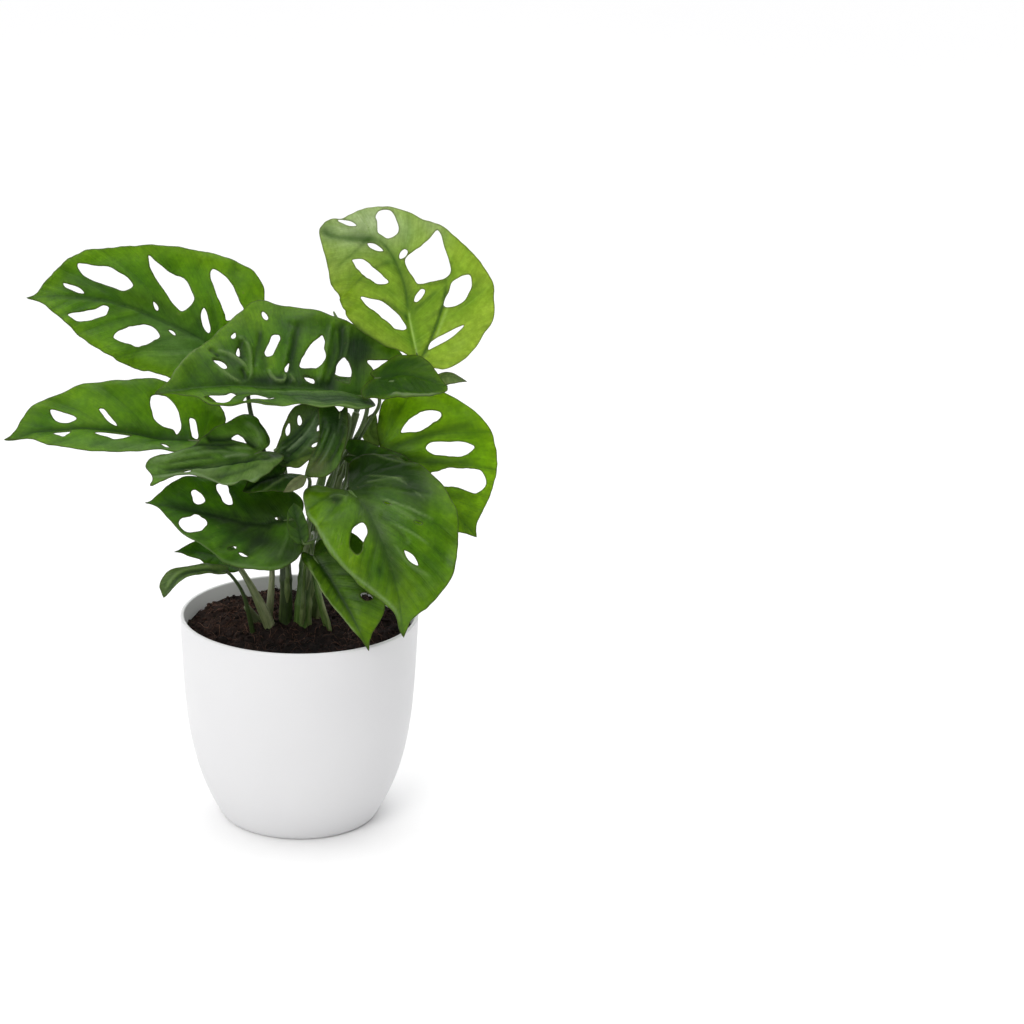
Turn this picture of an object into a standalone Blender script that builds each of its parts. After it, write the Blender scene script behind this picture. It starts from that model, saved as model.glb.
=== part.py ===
"""Young Monstera adansonii in a round pot.

The design is written in millimetres and scaled to metres when meshes are
made.  +Z is up, the origin is the pot's axis at the floor and the plant's
front faces -Y.

A leaf is designed as a botanist would note it down: the line of the midrib in
space, the way the blade faces at its base and at its tip, how far each half
is folded up from the midrib, half widths read off along the midrib, and the
windows between the side veins.
"""
import bpy
import numpy as np
from math import cos, sin, pi, radians
from mathutils.geometry import delaunay_2d_cdt
from mathutils import Vector

MM = 0.001

# ---------------------------------------------------------------- pot
POT_RIM_Z = 125.0
POT_WALL = 2.3
POT_FLOOR = 3.0
POT_PROFILE = [(44.0, 0.0), (46.4, 0.8), (48.2, 3.0), (50.6, 7.5), (54.0, 14.5),
               (57.6, 23.0), (61.2, 34.0), (64.2, 47.0), (66.4, 61.0),
               (68.0, 78.0), (69.2, 100.0), (70.0, 125.0)]
POT_SEGMENTS = 48

# ---------------------------------------------------------------- soil
SOIL_Z = 115.5
SOIL_GAP = 0.3
SOIL_BOTTOM_Z = 8.0
SOIL_SEGMENTS = 32
# mounds: centre x, y, height, radius
SOIL_MOUNDS = [(-38.0, 22.0, 4.5, 16.0), (-14.0, 46.0, 4.0, 11.0), (-4.0, 2.0, 2.5, 26.0),
               (30.0, -18.0, 1.2, 18.0), (-42.0, -22.0, -1.5, 15.0), (34.0, 30.0, 1.5, 20.0)]

# ---------------------------------------------------------------- plant
BLADE = 0.8          # thickness of a solid blade
JOINT_DROP = 1.7     # petiole ends this far under the blade's middle surface
PETIOLE_SIDES = 6

# rib: midrib points from joint to tip; nb, nm, nt: upward normals at base,
# middle and tip; fold: degrees (left base, left tip, right base, right tip);
# curl: degrees per 10 mm (left, right); l, r: (station, half width) pairs;
# h: windows (side, inner end, outer end, width, inner and outer sharpness, bow)
LEAVES = {
    'leaf_upper_left': dict(
        rib=[(-43, 28, 275), (-68, 26, 290), (-93, 22, 303), (-127, 12, 312), (-154, 0, 314)],
        nb=(0, -.8, .6), nt=(-.1, -.8, .6), fold=(8, 5, 8, 5), curl=(-3, -3),
        l=[(-10, 8), (-12, 20), (2, 28), (25, 31), (48, 36), (67, 36), (84, 31), (100, 22), (111, 12), (117, 4)],
        r=[(-8, 10), (-22, 28), (-22, 40), (-10, 50), (8, 53), (31, 50), (51, 42), (72, 34), (92, 27), (103, 17), (113, 7), (118, 2)],
        h=[('r', (63, 9), (94, 19), 12, .6, .7, 0), ('r', (88, 2), (101, 8), 4, .7, .7, 0),
           ('r', (30, 11), (59, 34), 15, .5, .7, 1), ('r', (2, 18), (26, 43), 13, .6, .6, 1),
           ('r', (14, 5), (24, 18), 4, .7, .7, 0), ('r', (44, 3), (50, 7), 2, .6, .6, 0),
           ('l', (74, 5), (101, 16), 7, .6, .8, 0), ('l', (38, 8), (71, 23), 14, .7, .8, 1),
           ('l', (28, 4), (36, 6), 2, .6, .6, 0)]),
    'leaf_left': dict(
        rib=[(-56, 6, 228), (-82, 4, 231), (-109, 0, 236), (-139, -6, 238), (-168, -14, 235)],
        nb=(0, -.5, .87), nt=(0, -.5, .87), fold=(20, 14, 20, 14), curl=(-4, -4),
        l=[(-6, 6), (-4, 13), (12, 15), (32, 17), (50, 20), (66, 21), (81, 19), (93, 14), (102, 5), (109, 1)],
        r=[(-7, 6), (-13, 14), (-10, 24), (-2, 31), (9, 35), (20, 37), (32, 40), (52, 35), (70, 31), (84, 23), (95, 18), (103, 10), (108, 4)],
        h=[('r', (75, 5), (88, 14), 6, .6, .7, 0), ('r', (48, 5), (61, 13), 4, .6, .6, 0),
           ('r', (15, 4), (28, 28), 16, .6, .5, -1), ('r', (4, 3), (9, 17), 5, .6, .6, 0),
           ('l', (76, 3), (89, 8), 4, .6, .6, 0), ('l', (42, 6), (64, 9), 4, .7, .7, 0),
           ('l', (17, 8), (26, 10), 2, .6, .6, 0)]),
    'leaf_centre': dict(
        rib=[(39, 2, 255), (6, -4, 262), (-25, -8, 264), (-53, -14, 265), (-81, -22, 265)],
        nb=(0, -.35, .93), nt=(0, -.5, .87), fold=(20, 16, 38, 20), curl=(0, -3),
        l=[(-6, 8), (-8, 18), (4, 25), (20, 29), (47, 31), (62, 31), (74, 31), (88, 25), (97, 16), (108, 7), (116, 2)],
        r=[(-8, 8), (-18, 20), (-17, 31), (-8, 35), (4, 41), (16, 46), (26, 50), (36, 53), (50, 54), (60, 56), (70, 50), (80, 40), (92, 29), (104, 18), (114, 7)],
        h=[('r', (58, 42), (60, 47), 3, .6, .6, 0), ('r', (57, 18), (53, 33), 6, .5, .5, 0),
           ('r', (36, 9), (26, 36), 13, .5, .9, 1), ('r', (14, 5), (16, 23), 9, .6, .6, 0),
           ('r', (32, 3), (39, 7), 3, .6, .6, 0), ('r', (47, 7), (46, 15), 3, .6, .8, 0),
           ('r', (78, 3), (74, 33), 22, .6, .6, 0),
           ('l', (96, 12), (78, 15), 6, .7, .7, 0), ('l', (73, 14), (72, 22), 4, .6, .6, 0),
           ('l', (68, 17), (52, 17), 6, .8, .6, 0)]),
    'leaf_top_right': dict(
        rib=[(69, 20, 271), (64, 24, 294), (59, 24, 320), (46, 18, 343), (15, 6, 356)],
        nb=(0, -.9, .4), nm=(.05, -.9, .4), nt=(0, -.9, .4), fold=(6, 6, 6, 6), curl=(-2, -3),
        l=[(2, 3), (8, 10), (13, 18), (20, 25), (27, 32), (36, 37), (46, 38), (60, 38), (75, 38), (90, 38), (102, 37), (108, 28), (112, 17), (115, 7)],
        r=[(-4, 4), (-7, 14), (-5, 22), (-2, 30), (10, 41), (17, 46), (28, 51), (39, 51), (50, 43), (62, 35), (71, 25), (82, 18), (94, 11), (104, 5)],
        h=[('r', (73, 4), (86, 15), 13, .5, .6, 0), ('r', (94, 1), (107, 3), 3, .7, .7, 0),
           ('r', (60, 3), (63, 9), 4, .6, .6, 0), ('r', (49, 5), (56, 32), 18, .5, .6, 0),
           ('r', (34, 3), (42, 12), 4, .7, .8, 0), ('r', (28, 20), (41, 40), 11, .6, .6, 0),
           ('r', (6, 6), (17, 30), 5, .6, .9, 0),
           ('l', (72, 3), (85, 7), 4, .7, .7, 0), ('l', (50, 11), (95, 20), 9, .7, .7, 1),
           ('l', (18, 4), (51, 28), 9, .6, .8, 0)]),
    'leaf_right_small': dict(
        rib=[(43, 3, 266), (63, -4, 270), (84, -12, 265)],
        nb=(0, -.45, .9), nt=(.2, -.45, .9), fold=(12, 8, 12, 8), curl=(-4, -4),
        l=[(-3, 4), (3, 9), (14, 12), (24, 11), (34, 5), (41, 2)],
        r=[(-3, 4), (4, 10), (14, 15), (24, 19), (33, 16), (40, 7)], h=[]),
    'leaf_right_tiny': dict(
        rib=[(77, 26, 259), (87, 22, 263), (97, 16, 261)],
        nb=(0, -.8, .5), nt=(0, -.8, .5), fold=(4, 4, 4, 4), curl=(0, 0),
        l=[(3, 2), (10, 2), (18, 1)], r=[(3, 3), (9, 6), (16, 5), (20, 2)], h=[]),
    'leaf_right': dict(
        rib=[(47, 10, 223), (63, 5, 215), (82, 1, 196), (103, -5, 173)],
        nb=(.1, -.93, .35), nt=(.1, -.93, .35), fold=(6, 4, 6, 4), curl=(-2, -2),
        l=[(-7, 5), (-11, 15), (-10, 25), (-4, 34), (6, 43), (17, 47), (30, 49), (44, 45), (57, 34), (68, 14), (72, 5)],
        r=[(-5, 5), (-6, 12), (4, 20), (20, 27), (36, 29), (50, 24), (62, 13), (70, 5)],
        h=[('l', (6, 12), (17, 37), 8, .7, .6, -1), ('l', (19, 12), (39, 35), 8, .6, .7, 0),
           ('l', (32, 3), (58, 27), 13, .7, .5, 0), ('r', (16, 6), (30, 20), 6, .6, .6, 0),
           ('r', (36, 5), (48, 17), 5, .6, .7, 0)]),
    'leaf_right_pale': dict(
        rib=[(48, 16, 222), (42, 19, 230), (44, 23, 241)],
        nb=(-.3, -.8, .5), nt=(-.3, -.8, .5), fold=(4, 4, 4, 4), curl=(0, 0),
        l=[(3, 3), (9, 6), (15, 5), (19, 3)], r=[(3, 2), (10, 4), (18, 3)], h=[]),
    'leaf_front_right': dict(
        rib=[(28, -30, 209), (37, -42, 204), (46, -54, 187), (54, -60, 163), (59, -60, 131)],
        nb=(0, -.55, .83), nt=(.05, -.95, .2), fold=(8, 6, 8, 6), curl=(-4, -4),
        l=[(-9, 6), (-18, 14), (-14, 25), (-5, 37), (8, 41), (24, 46), (40, 46), (53, 41), (64, 34), (72, 27), (80, 16), (86, 7), (92, 3)],
        r=[(-6, 6), (-14, 14), (-12, 22), (-8, 26), (4, 31), (22, 32), (36, 30), (52, 23), (64, 17), (73, 9), (81, 4), (91, 2)],
        h=[('l', (47, 9), (59, 16), 4, .7, .8, 0), ('r', (25, 7), (43, 18), 9, .6, .6, 0),
           ('r', (2, 6), (6, 18), 6, .6, .6, 0), ('r', (52, 6), (59, 9), 3, .6, .6, 0),
           ('l', (34, 20), (39, 25), 2, .6, .6, 0)]),
    'leaf_right_hidden': dict(
        rib=[(29, 2, 221), (50, -1, 216), (75, -5, 208)],
        nb=(0, -.95, .3), nt=(0, -.95, .3), fold=(5, 5, 5, 5), curl=(-3, -3),
        l=[(-4, 4), (-3, 8), (4, 10), (16, 9), (30, 8), (42, 4)],
        r=[(-3, 3), (4, 6), (20, 8), (36, 6), (44, 3)], h=[]),
    'leaf_lower_left': dict(
        rib=[(-2, -30, 192), (-28, -38, 193), (-53, -46, 201), (-72, -52, 207), (-86, -56, 209)],
        nb=(0, -.6, .8), nt=(-.1, -.6, .8), fold=(10, 6, 10, 6), curl=(-5, -4),
        l=[(-2, 4), (-3, 12), (0, 21), (8, 30), (18, 34), (30, 34), (42, 32), (56, 26), (66, 20), (77, 11), (83, 4)],
        r=[(-5, 5), (-6, 14), (4, 22), (18, 27), (34, 28), (50, 25), (62, 22), (70, 19), (80, 9), (87, 2)],
        h=[('r', (57, 5), (64, 14), 7, .5, .5, 0), ('r', (37, 7), (45, 23), 8, .6, .6, 0),
           ('l', (52, 5), (72, 12), 11, .6, .6, 0), ('l', (36, 20), (42, 25), 3, .7, .7, 0),
           ('l', (28, 23), (33, 26), 3, .7, .7, 0), ('r', (8, 3), (13, 5), 2, .6, .6, 0),
           ('l', (18, 5), (28, 17), 4, .7, .7, 0)]),
    'leaf_lower_left_back': dict(
        rib=[(-38, -8, 160), (-48, -12, 164), (-60, -16, 168), (-72, -20, 169)],
        nb=(0, -.6, .8), nt=(0, -.6, .8), fold=(8, 6, 8, 6), curl=(-3, -3),
        l=[(-3, 4), (-1, 9), (8, 11), (18, 9), (26, 5), (32, 2)],
        r=[(-3, 4), (0, 9), (8, 12), (18, 10), (27, 5), (33, 2)], h=[]),
    'leaf_curled': dict(
        rib=[(-21, -20, 229), (-38, -30, 227), (-58, -40, 226), (-82, -52, 224)],
        nb=(0, -.4, .9), nt=(0, -.6, .8), fold=(16, 8, 30, 16), curl=(-6, -6),
        l=[(-6, 5), (-6, 14), (3, 19), (14, 23), (24, 21), (36, 18), (48, 9), (58, 4), (66, 3)],
        r=[(-7, 4), (-8, 12), (-5, 23), (3, 26), (12, 24), (23, 22), (32, 17), (45, 11), (58, 12), (66, 11), (70, 7)],
        h=[('r', (4, 8), (13, 17), 4, .7, .7, 0), ('l', (46, 2), (53, 4), 3, .7, .7, 0)]),
    'leaf_centre_back': dict(
        rib=[(-14, -14, 228), (-5, -18, 237), (4, -20, 246), (12, -20, 254)],
        nb=(0, -.8, .6), nt=(0, -.8, .6), fold=(8, 6, 8, 6), curl=(-3, -3),
        l=[(2, 2), (8, 8), (17, 11), (27, 10), (34, 5)],
        r=[(-3, 4), (2, 9), (11, 13), (21, 12), (30, 8), (35, 3)],
        h=[('l', (13, 3), (19, 7), 3, .6, .6, 0), ('l', (21, 3), (26, 6), 3, .6, .6, 0)]),
    'leaf_hanging': dict(
        rib=[(23, -20, 252), (21, -26, 242), (15, -32, 231), (3, -34, 219)],
        nb=(.2, -.8, .6), nt=(-.2, -.9, .3), fold=(14, 10, 14, 10), curl=(-5, -5),
        l=[(-3, 4), (2, 5), (12, 5), (24, 4), (34, 3), (41, 1)],
        r=[(-3, 4), (0, 10), (10, 11), (22, 10), (32, 7), (40, 3)], h=[]),
    'leaf_under_curled': dict(
        rib=[(-9, -24, 217), (-21, -30, 215), (-32, -36, 210)],
        nb=(0, -.5, .87), nt=(-.1, -.6, .8), fold=(12, 8, 12, 8), curl=(-3, -3),
        l=[(-8, 5), (-8, 12), (0, 16), (10, 13), (19, 8), (25, 3)],
        r=[(-4, 4), (-2, 8), (8, 9), (17, 6), (24, 2)], h=[]),
    'leaf_old_flap': dict(
        rib=[(4, -34, 219), (-2, -39, 216), (-9, -43, 212)],
        nb=(.1, -.7, .7), nt=(0, -.7, .7), fold=(4, 4, 4, 4), curl=(0, 0),
        l=[(2, 2), (7, 4), (13, 3)], r=[(2, 2), (8, 3), (13, 2)], h=[]),
    'leaf_small_upright': dict(
        rib=[(2, -50, 184), (-1, -50, 196), (-3, -47, 207)],
        nb=(0, -.8, .6), nt=(0, -.8, .6), fold=(6, 6, 6, 6), curl=(-2, -2),
        l=[(1, 3), (6, 6), (13, 6), (20, 4)], r=[(1, 3), (6, 5), (14, 5), (21, 3)],
        h=[('l', (10, 1), (16, 4), 3, .5, .5, 0)]),
    'leaf_behind_centre': dict(
        rib=[(39, 22, 264), (21, 16, 262), (0, 12, 265)],
        nb=(0, -.5, .85), nt=(0, -.5, .85), fold=(6, 6, 6, 6), curl=(-2, -2),
        l=[(-2, 4), (6, 10), (18, 12), (30, 9), (38, 3)], r=[(-2, 4), (6, 8), (18, 9), (30, 6), (38, 2)], h=[]),
    'leaf_bottom_left': dict(
        rib=[(-41, -28, 160), (-54, -36, 163), (-67, -44, 163), (-77, -50, 152)],
        nb=(0, -.6, .8), nt=(-.3, -.8, .5), fold=(10, 8, 10, 8), curl=(0, 0),
        l=[(2, 2), (10, 4), (20, 6), (30, 5), (38, 3), (44, 1)],
        r=[(2, 2), (12, 4), (22, 4), (31, 5), (39, 6), (45, 2)], h=[]),
    'leaf_bottom_right': dict(
        rib=[(8, -40, 173), (19, -52, 161), (30, -64, 145), (39, -70, 127)],
        nb=(0, -.7, .7), nt=(0, -.9, .35), fold=(8, 6, 8, 6), curl=(-4, -4),
        l=[(-5, 5), (-6, 12), (4, 19), (18, 23), (34, 22), (46, 19), (53, 10), (58, 4)],
        r=[(-5, 4), (-2, 7), (8, 7), (22, 8), (33, 7), (43, 5), (54, 2)],
        h=[('l', (34, 4), (42, 10), 6, .5, .5, 0), ('r', (20, 2), (25, 4), 2, .5, .5, 0)]),
}

# stems: axis points and radii from the soil up
STEMS = {
    'stem_left': ([(-8, 2, 121), (-8, 0, 145), (-9, -2, 172), (-11, -4, 200), (-14, -7, 219)], (4.0, 2.2)),
    'stem_middle': ([(2, -4, 121), (3, -5, 140), (5, -5, 165), (9, -4, 190), (14, -2, 212)], (5.0, 2.2)),
    'stem_right': ([(9, 11, 121), (12, 13, 145), (19, 16, 185), (27, 19, 220), (33, 22, 240)], (3.2, 2.2)),
}

# petioles: leaf, stem it clasps, height and compass angle of the clasp
# (0 = +X, 90 = +Y), points passed on the way to the leaf
PETIOLES = {
    'petiole_upper_left': ('leaf_upper_left', 'stem_left', 196, 120, [(-21, 9, 222), (-28, 20, 240), (-31, 27, 254), (-38, 33, 267)]),
    'petiole_left': ('leaf_left', None, None, None, [(-18, 2, 121), (-16, 3, 150), (-18, 4, 172), (-29, 6, 199), (-44, 8, 219)]),
    'petiole_centre': ('leaf_centre', 'stem_middle', 196, 20, [(27, 7, 220), (36, 7, 236), (39, 5, 247)]),
    'petiole_top_right': ('leaf_top_right', 'stem_right', 190, 20, [(40, 23, 217), (55, 26, 236), (66, 25, 256)]),
    'petiole_right_small': ('leaf_right_small', 'stem_right', 205, -60, [(40, 9, 238), (46, 2, 252)]),
    'petiole_right_tiny': ('leaf_right_tiny', 'stem_right', 168, 40, [(37, 30, 208), (56, 33, 232), (71, 30, 250)]),
    'petiole_right': ('leaf_right', 'stem_middle', 168, 10, [(22, 5, 194), (37, 10, 212)]),
    'petiole_right_pale': ('leaf_right_pale', 'stem_right', 178, -30, [(35, 15, 205), (45, 18, 214)]),
    'petiole_front_right': ('leaf_front_right', None, None, None, [(16, -9, 121), (12, -12, 137), (9, -15, 155), (11, -18, 175), (20, -26, 199)]),
    'petiole_bottom_right': ('leaf_bottom_right', 'stem_middle', 134, -95, [(3, -20, 158), (5, -34, 171)]),
    'petiole_lower_left': ('leaf_lower_left', 'stem_left', 148, -75, [(-4, -13, 174), (-1, -18, 185)]),
    'petiole_curled': ('leaf_curled', 'stem_left', 196, -130, [(-18, -14, 218)]),
    'petiole_centre_back': ('leaf_centre_back', 'stem_left', 200, -20, [(-9, -9, 219)]),
    'petiole_hanging': ('leaf_hanging', 'stem_middle', 186, -30, [(19, -7, 206), (23, -9, 222), (28, -12, 238), (28, -15, 249)]),
    'petiole_under_curled': ('leaf_under_curled', 'stem_left', 172, -70, [(-8, -10, 198), (-8, -13, 209)]),
    'petiole_old_flap': ('leaf_old_flap', 'stem_middle', 178, -110, [(5, -15, 200), (6, -20, 211)]),
    'petiole_small_upright': ('leaf_small_upright', 'stem_middle', 158, -70, [(8, -22, 181), (9, -38, 184), (7, -47, 184)]),
    'petiole_behind_centre': ('leaf_behind_centre', 'stem_right', 200, 130, [(32, 26, 236), (40, 27, 254)]),
    'petiole_right_hidden': ('leaf_right_hidden', 'stem_middle', 150, -10, [(19, -2, 182), (27, 0, 206)]),
    'petiole_lower_left_back': ('leaf_lower_left_back', None, None, None, [(-18, -8, 121), (-25, -9, 138), (-33, -9, 153)]),
    'petiole_bottom_left': ('leaf_bottom_left', None, None, None, [(-28, -12, 121), (-32, -17, 141), (-36, -22, 151)]),
}
PETIOLE_RADII = {  # base, top
    'petiole_lower_left_back': (3.0, 1.4), 'petiole_left': (1.8, 1.1), 'petiole_bottom_left': (1.2, .9),
    'petiole_front_right': (1.8, 1.2), 'petiole_centre': (1.7, 1.2), 'petiole_upper_left': (1.6, 1.2),
    'petiole_top_right': (1.6, 1.2)}
PETIOLE_DEFAULT = (1.4, 1.0)

NEW_LEAF = [(33, 23, 241), (34, 31, 255), (30, 37, 271), (25, 38, 285), (20, 38, 297)]
NEW_LEAF_RADII = [1.3, 1.5, 2.2, 2.6, .5]
STUB = [(-25, -3, 121), (-29, -4, 128), (-33, -5, 133)]


# ---------------------------------------------------------------- geometry
def smooth_line(points, n, closed=False):
    """centripetal curve through the points"""
    p = np.asarray(points, float)
    m = len(p)
    if closed:
        q = np.vstack([p[-1], p, p[0], p[1]])
        count = m
    else:
        q = np.vstack([2 * p[0] - p[1], p, 2 * p[-1] - p[-2]])
        count = m - 1
    out = []
    for i in range(count):
        a, b, c, d = q[i:i + 4]
        t1 = max(np.linalg.norm(b - a), 1e-6) ** .5
        t2 = t1 + max(np.linalg.norm(c - b), 1e-6) ** .5
        t3 = t2 + max(np.linalg.norm(d - c), 1e-6) ** .5
        t = np.linspace(t1, t2, n, endpoint=False)[:, None]
        ab = (t1 - t) / t1 * a + t / t1 * b
        bc = (t2 - t) / (t2 - t1) * b + (t - t1) / (t2 - t1) * c
        cd = (t3 - t) / (t3 - t2) * c + (t - t2) / (t3 - t2) * d
        left = (t2 - t) / t2 * ab + t / t2 * bc
        right = (t3 - t) / (t3 - t1) * bc + (t - t1) / (t3 - t1) * cd
        out.append((t2 - t) / (t2 - t1) * left + (t - t1) / (t2 - t1) * right)
    if not closed:
        out.append(p[-1][None])
    return np.vstack(out)


def unit(v):
    return v / np.maximum(np.linalg.norm(v, axis=-1, keepdims=True), 1e-9)


def even(points, step):
    """points at an even distance along an open line, ends kept"""
    p = np.asarray(points, float)
    run = np.concatenate([[0], np.cumsum(np.linalg.norm(np.diff(p, axis=0), axis=1))])
    n = max(2, int(round(run[-1] / step)) + 1)
    g = np.linspace(0, run[-1], n)
    return np.stack([np.interp(g, run, p[:, k]) for k in range(p.shape[1])], 1)


class Blade:
    """surface of one leaf: s runs along the midrib, t across it (left positive)"""

    def __init__(self, spec):
        c = smooth_line(spec['rib'], 24)
        run = np.concatenate([[0], np.cumsum(np.linalg.norm(np.diff(c, axis=0), axis=1))])
        self.length = run[-1]
        self.g = np.linspace(0, self.length, 161)
        self.mid = np.stack([np.interp(self.g, run, c[:, k]) for k in range(3)], 1)
        self.tan = unit(np.gradient(self.mid, self.g, axis=0))
        w = (self.g / self.length)[:, None]
        nb, nt = unit(np.array(spec['nb'], float)), unit(np.array(spec['nt'], float))
        if 'nm' in spec:
            nm = unit(np.array(spec['nm'], float))
            n = np.where(w < .5, nb * (1 - 2 * w) + nm * 2 * w, nm * (2 - 2 * w) + nt * (2 * w - 1))
        else:
            n = nb * (1 - w) + nt * w
        self.nrm = unit(n - (n * self.tan).sum(1)[:, None] * self.tan)
        self.fold = np.radians(np.array(spec['fold'], float))
        self.curl = np.radians(np.array(spec['curl'], float)) / 10

    def at(self, s, t):
        s = np.asarray(s, float)
        t = np.asarray(t, float)
        sc = np.clip(s, 0, self.length)

        def look(table):
            return np.stack([np.interp(sc, self.g, table[:, k]) for k in range(3)], -1)
        m, tan, n = look(self.mid), unit(look(self.tan)), unit(look(self.nrm))
        n = unit(n - (n * tan).sum(-1)[..., None] * tan)
        m = m + tan * (s - sc)[..., None]
        out = np.cross(n, tan) * np.where(t >= 0, 1, -1)[..., None]
        w = np.clip(s / self.length, 0, 1)
        left = self.fold[0] * (1 - w) + self.fold[1] * w
        right = self.fold[2] * (1 - w) + self.fold[3] * w
        a = np.where(t >= 0, left, right)
        k = np.where(t >= 0, self.curl[0], self.curl[1])
        k = np.where(np.abs(k) < 1e-6, 1e-6, k)
        r = np.abs(t)
        x = (np.sin(a + k * r) - np.sin(a)) / k
        z = (np.cos(a) - np.cos(a + k * r)) / k
        return m + out * x[..., None] + n * z[..., None]


def window(a, b, width, ea, eb, bow, n=12):
    """closed outline of a window between two side veins"""
    a, b = np.array(a, float), np.array(b, float)
    axis = b - a
    length = np.linalg.norm(axis)
    axis = axis / length
    side = np.array([-axis[1], axis[0]])
    x = (1 - np.cos(np.linspace(0, pi, n // 2 + 1))) / 2
    peak = ea / (ea + eb)
    f = (x ** ea * np.maximum(1 - x, 0) ** eb) / (peak ** ea * (1 - peak) ** eb)
    up = a + axis * (x * length)[:, None] + side * (width / 2 * f + bow * 4 * x * (1 - x))[:, None]
    dn = a + axis * (x * length)[:, None] + side * (-width / 2 * f + bow * 4 * x * (1 - x))[:, None]
    return np.vstack([up, dn[::-1][1:-1]])


def inside(poly, pts):
    """even-odd test of points against a polygon"""
    x, y = pts[:, 0], pts[:, 1]
    hit = np.zeros(len(pts), bool)
    for i in range(len(poly)):
        (x1, y1), (x2, y2) = poly[i], poly[(i + 1) % len(poly)]
        cross = (y1 > y) != (y2 > y)
        d = (y2 - y1) if abs(y2 - y1) > 1e-12 else 1e-12
        hit ^= cross & (x < (x2 - x1) * (y - y1) / d + x1)
    return hit


def clear_of(segments, pts, gap):
    """points farther than gap from every segment"""
    keep = np.ones(len(pts), bool)
    for a, b in segments:
        ab = b - a
        t = np.clip(((pts - a) @ ab) / max(ab @ ab, 1e-9), 0, 1)
        keep &= np.linalg.norm(pts - (a + t[:, None] * ab), axis=1) > gap
    return keep


def leaf_sheet(spec, step):
    """flat triangulation (s, t) of a leaf: points, triangles"""
    blade = Blade(spec)
    length = blade.length
    left = even(smooth_line([(0, 0)] + spec['l'] + [(length, 0)], 8), step)
    right = even(smooth_line([(0, 0)] + spec['r'] + [(length, 0)], 8), step) * np.array([1, -1])
    outline = np.vstack([left, right[::-1][1:-1]])
    midrib = even(np.array([(0, 0), (length, 0)]), step)[1:-1]
    holes = []
    for side, a, b, width, ea, eb, bow in spec['h']:
        reach = np.hypot(b[0] - a[0], b[1] - a[1])
        hole = window(a, b, width, ea, eb, bow, 12 if reach > 12 else 8)
        if side == 'r':
            hole = hole * np.array([1, -1])
        holes.append(hole)
    pts, edges = [], []

    def ring(loop):
        base = len(pts)
        pts.extend(map(tuple, loop))
        n = len(loop)
        edges.extend((base + i, base + (i + 1) % n) for i in range(n))
    ring(outline)
    tip = len(left) - 1
    chain = [0]
    for p in midrib:
        chain.append(len(pts))
        pts.append(tuple(p))
    chain.append(tip)
    edges.extend(zip(chain[:-1], chain[1:]))
    for hole in holes:
        ring(hole)
    segments = [(np.array(pts[a]), np.array(pts[b])) for a, b in edges]
    lo, hi = outline.min(0), outline.max(0)
    rows = np.arange(lo[1], hi[1], step * .87)
    grid = np.array([(x + (i % 2) * step / 2, y) for i, y in enumerate(rows) for x in np.arange(lo[0], hi[0], step)])
    keep = inside(outline, grid)
    for hole in holes:
        keep &= ~inside(hole, grid)
    grid = grid[keep]
    grid = grid[clear_of(segments, grid, step * .55)]
    pts.extend(map(tuple, grid))
    flat, _, tris, _, _, _ = delaunay_2d_cdt([Vector(p) for p in pts], edges, [], 0, 1e-4)
    flat = np.array([tuple(v) for v in flat])
    tris = np.array([tuple(t) for t in tris])
    centre = flat[tris].mean(1)
    keep = inside(outline, centre)
    for hole in holes:
        keep &= ~inside(hole, centre)
    tris = tris[keep]
    a, b, c = flat[tris[:, 0]], flat[tris[:, 1]], flat[tris[:, 2]]
    area = (b[:, 0] - a[:, 0]) * (c[:, 1] - a[:, 1]) - (b[:, 1] - a[:, 1]) * (c[:, 0] - a[:, 0])
    tris[area < 0] = tris[area < 0][:, ::-1]
    return blade, flat, tris


def leaf_solid(spec, step, thick):
    blade, flat, tris = leaf_sheet(spec, step)
    p = blade.at(flat[:, 0], flat[:, 1])
    face = np.cross(p[tris[:, 1]] - p[tris[:, 0]], p[tris[:, 2]] - p[tris[:, 0]])
    n = np.zeros_like(p)
    for k in range(3):
        np.add.at(n, tris[:, k], face)
    n = unit(n)
    count = len(p)
    verts = np.vstack([p + n * thick / 2, p - n * thick / 2])
    faces = [tuple(t) for t in tris] + [tuple(count + i for i in t[::-1]) for t in tris]
    seen = {}
    for t in tris:
        for i in range(3):
            seen[(t[i], t[(i + 1) % 3])] = True
    for a, b in seen:
        if (b, a) not in seen:
            faces.append((b, a, count + a, count + b))
    return verts, faces


def tube(points, radii, sides, rings):
    line = smooth_line(points, 12)
    run = np.concatenate([[0], np.cumsum(np.linalg.norm(np.diff(line, axis=0), axis=1))])
    g = np.linspace(0, run[-1], rings)
    axis = np.stack([np.interp(g, run, line[:, k]) for k in range(3)], 1)
    rad = np.interp(np.linspace(0, 1, rings), np.linspace(0, 1, len(radii)), radii)
    tan = unit(np.gradient(axis, axis=0))
    ref = np.array([1.0, 0, 0]) if abs(tan[0][0]) < .8 else np.array([0, 1.0, 0])
    verts = []
    for i in range(rings):
        ref = unit(ref - (ref @ tan[i]) * tan[i])
        other = np.cross(tan[i], ref)
        for j in range(sides):
            a = 2 * pi * j / sides
            verts.append(axis[i] + rad[i] * (cos(a) * ref + sin(a) * other))
    faces = []
    for i in range(rings - 1):
        for j in range(sides):
            k = (j + 1) % sides
            faces.append((i * sides + j, i * sides + k, (i + 1) * sides + k, (i + 1) * sides + j))
    faces.append(tuple(range(sides))[::-1])
    faces.append(tuple((rings - 1) * sides + j for j in range(sides)))
    return np.array(verts), faces


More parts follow.
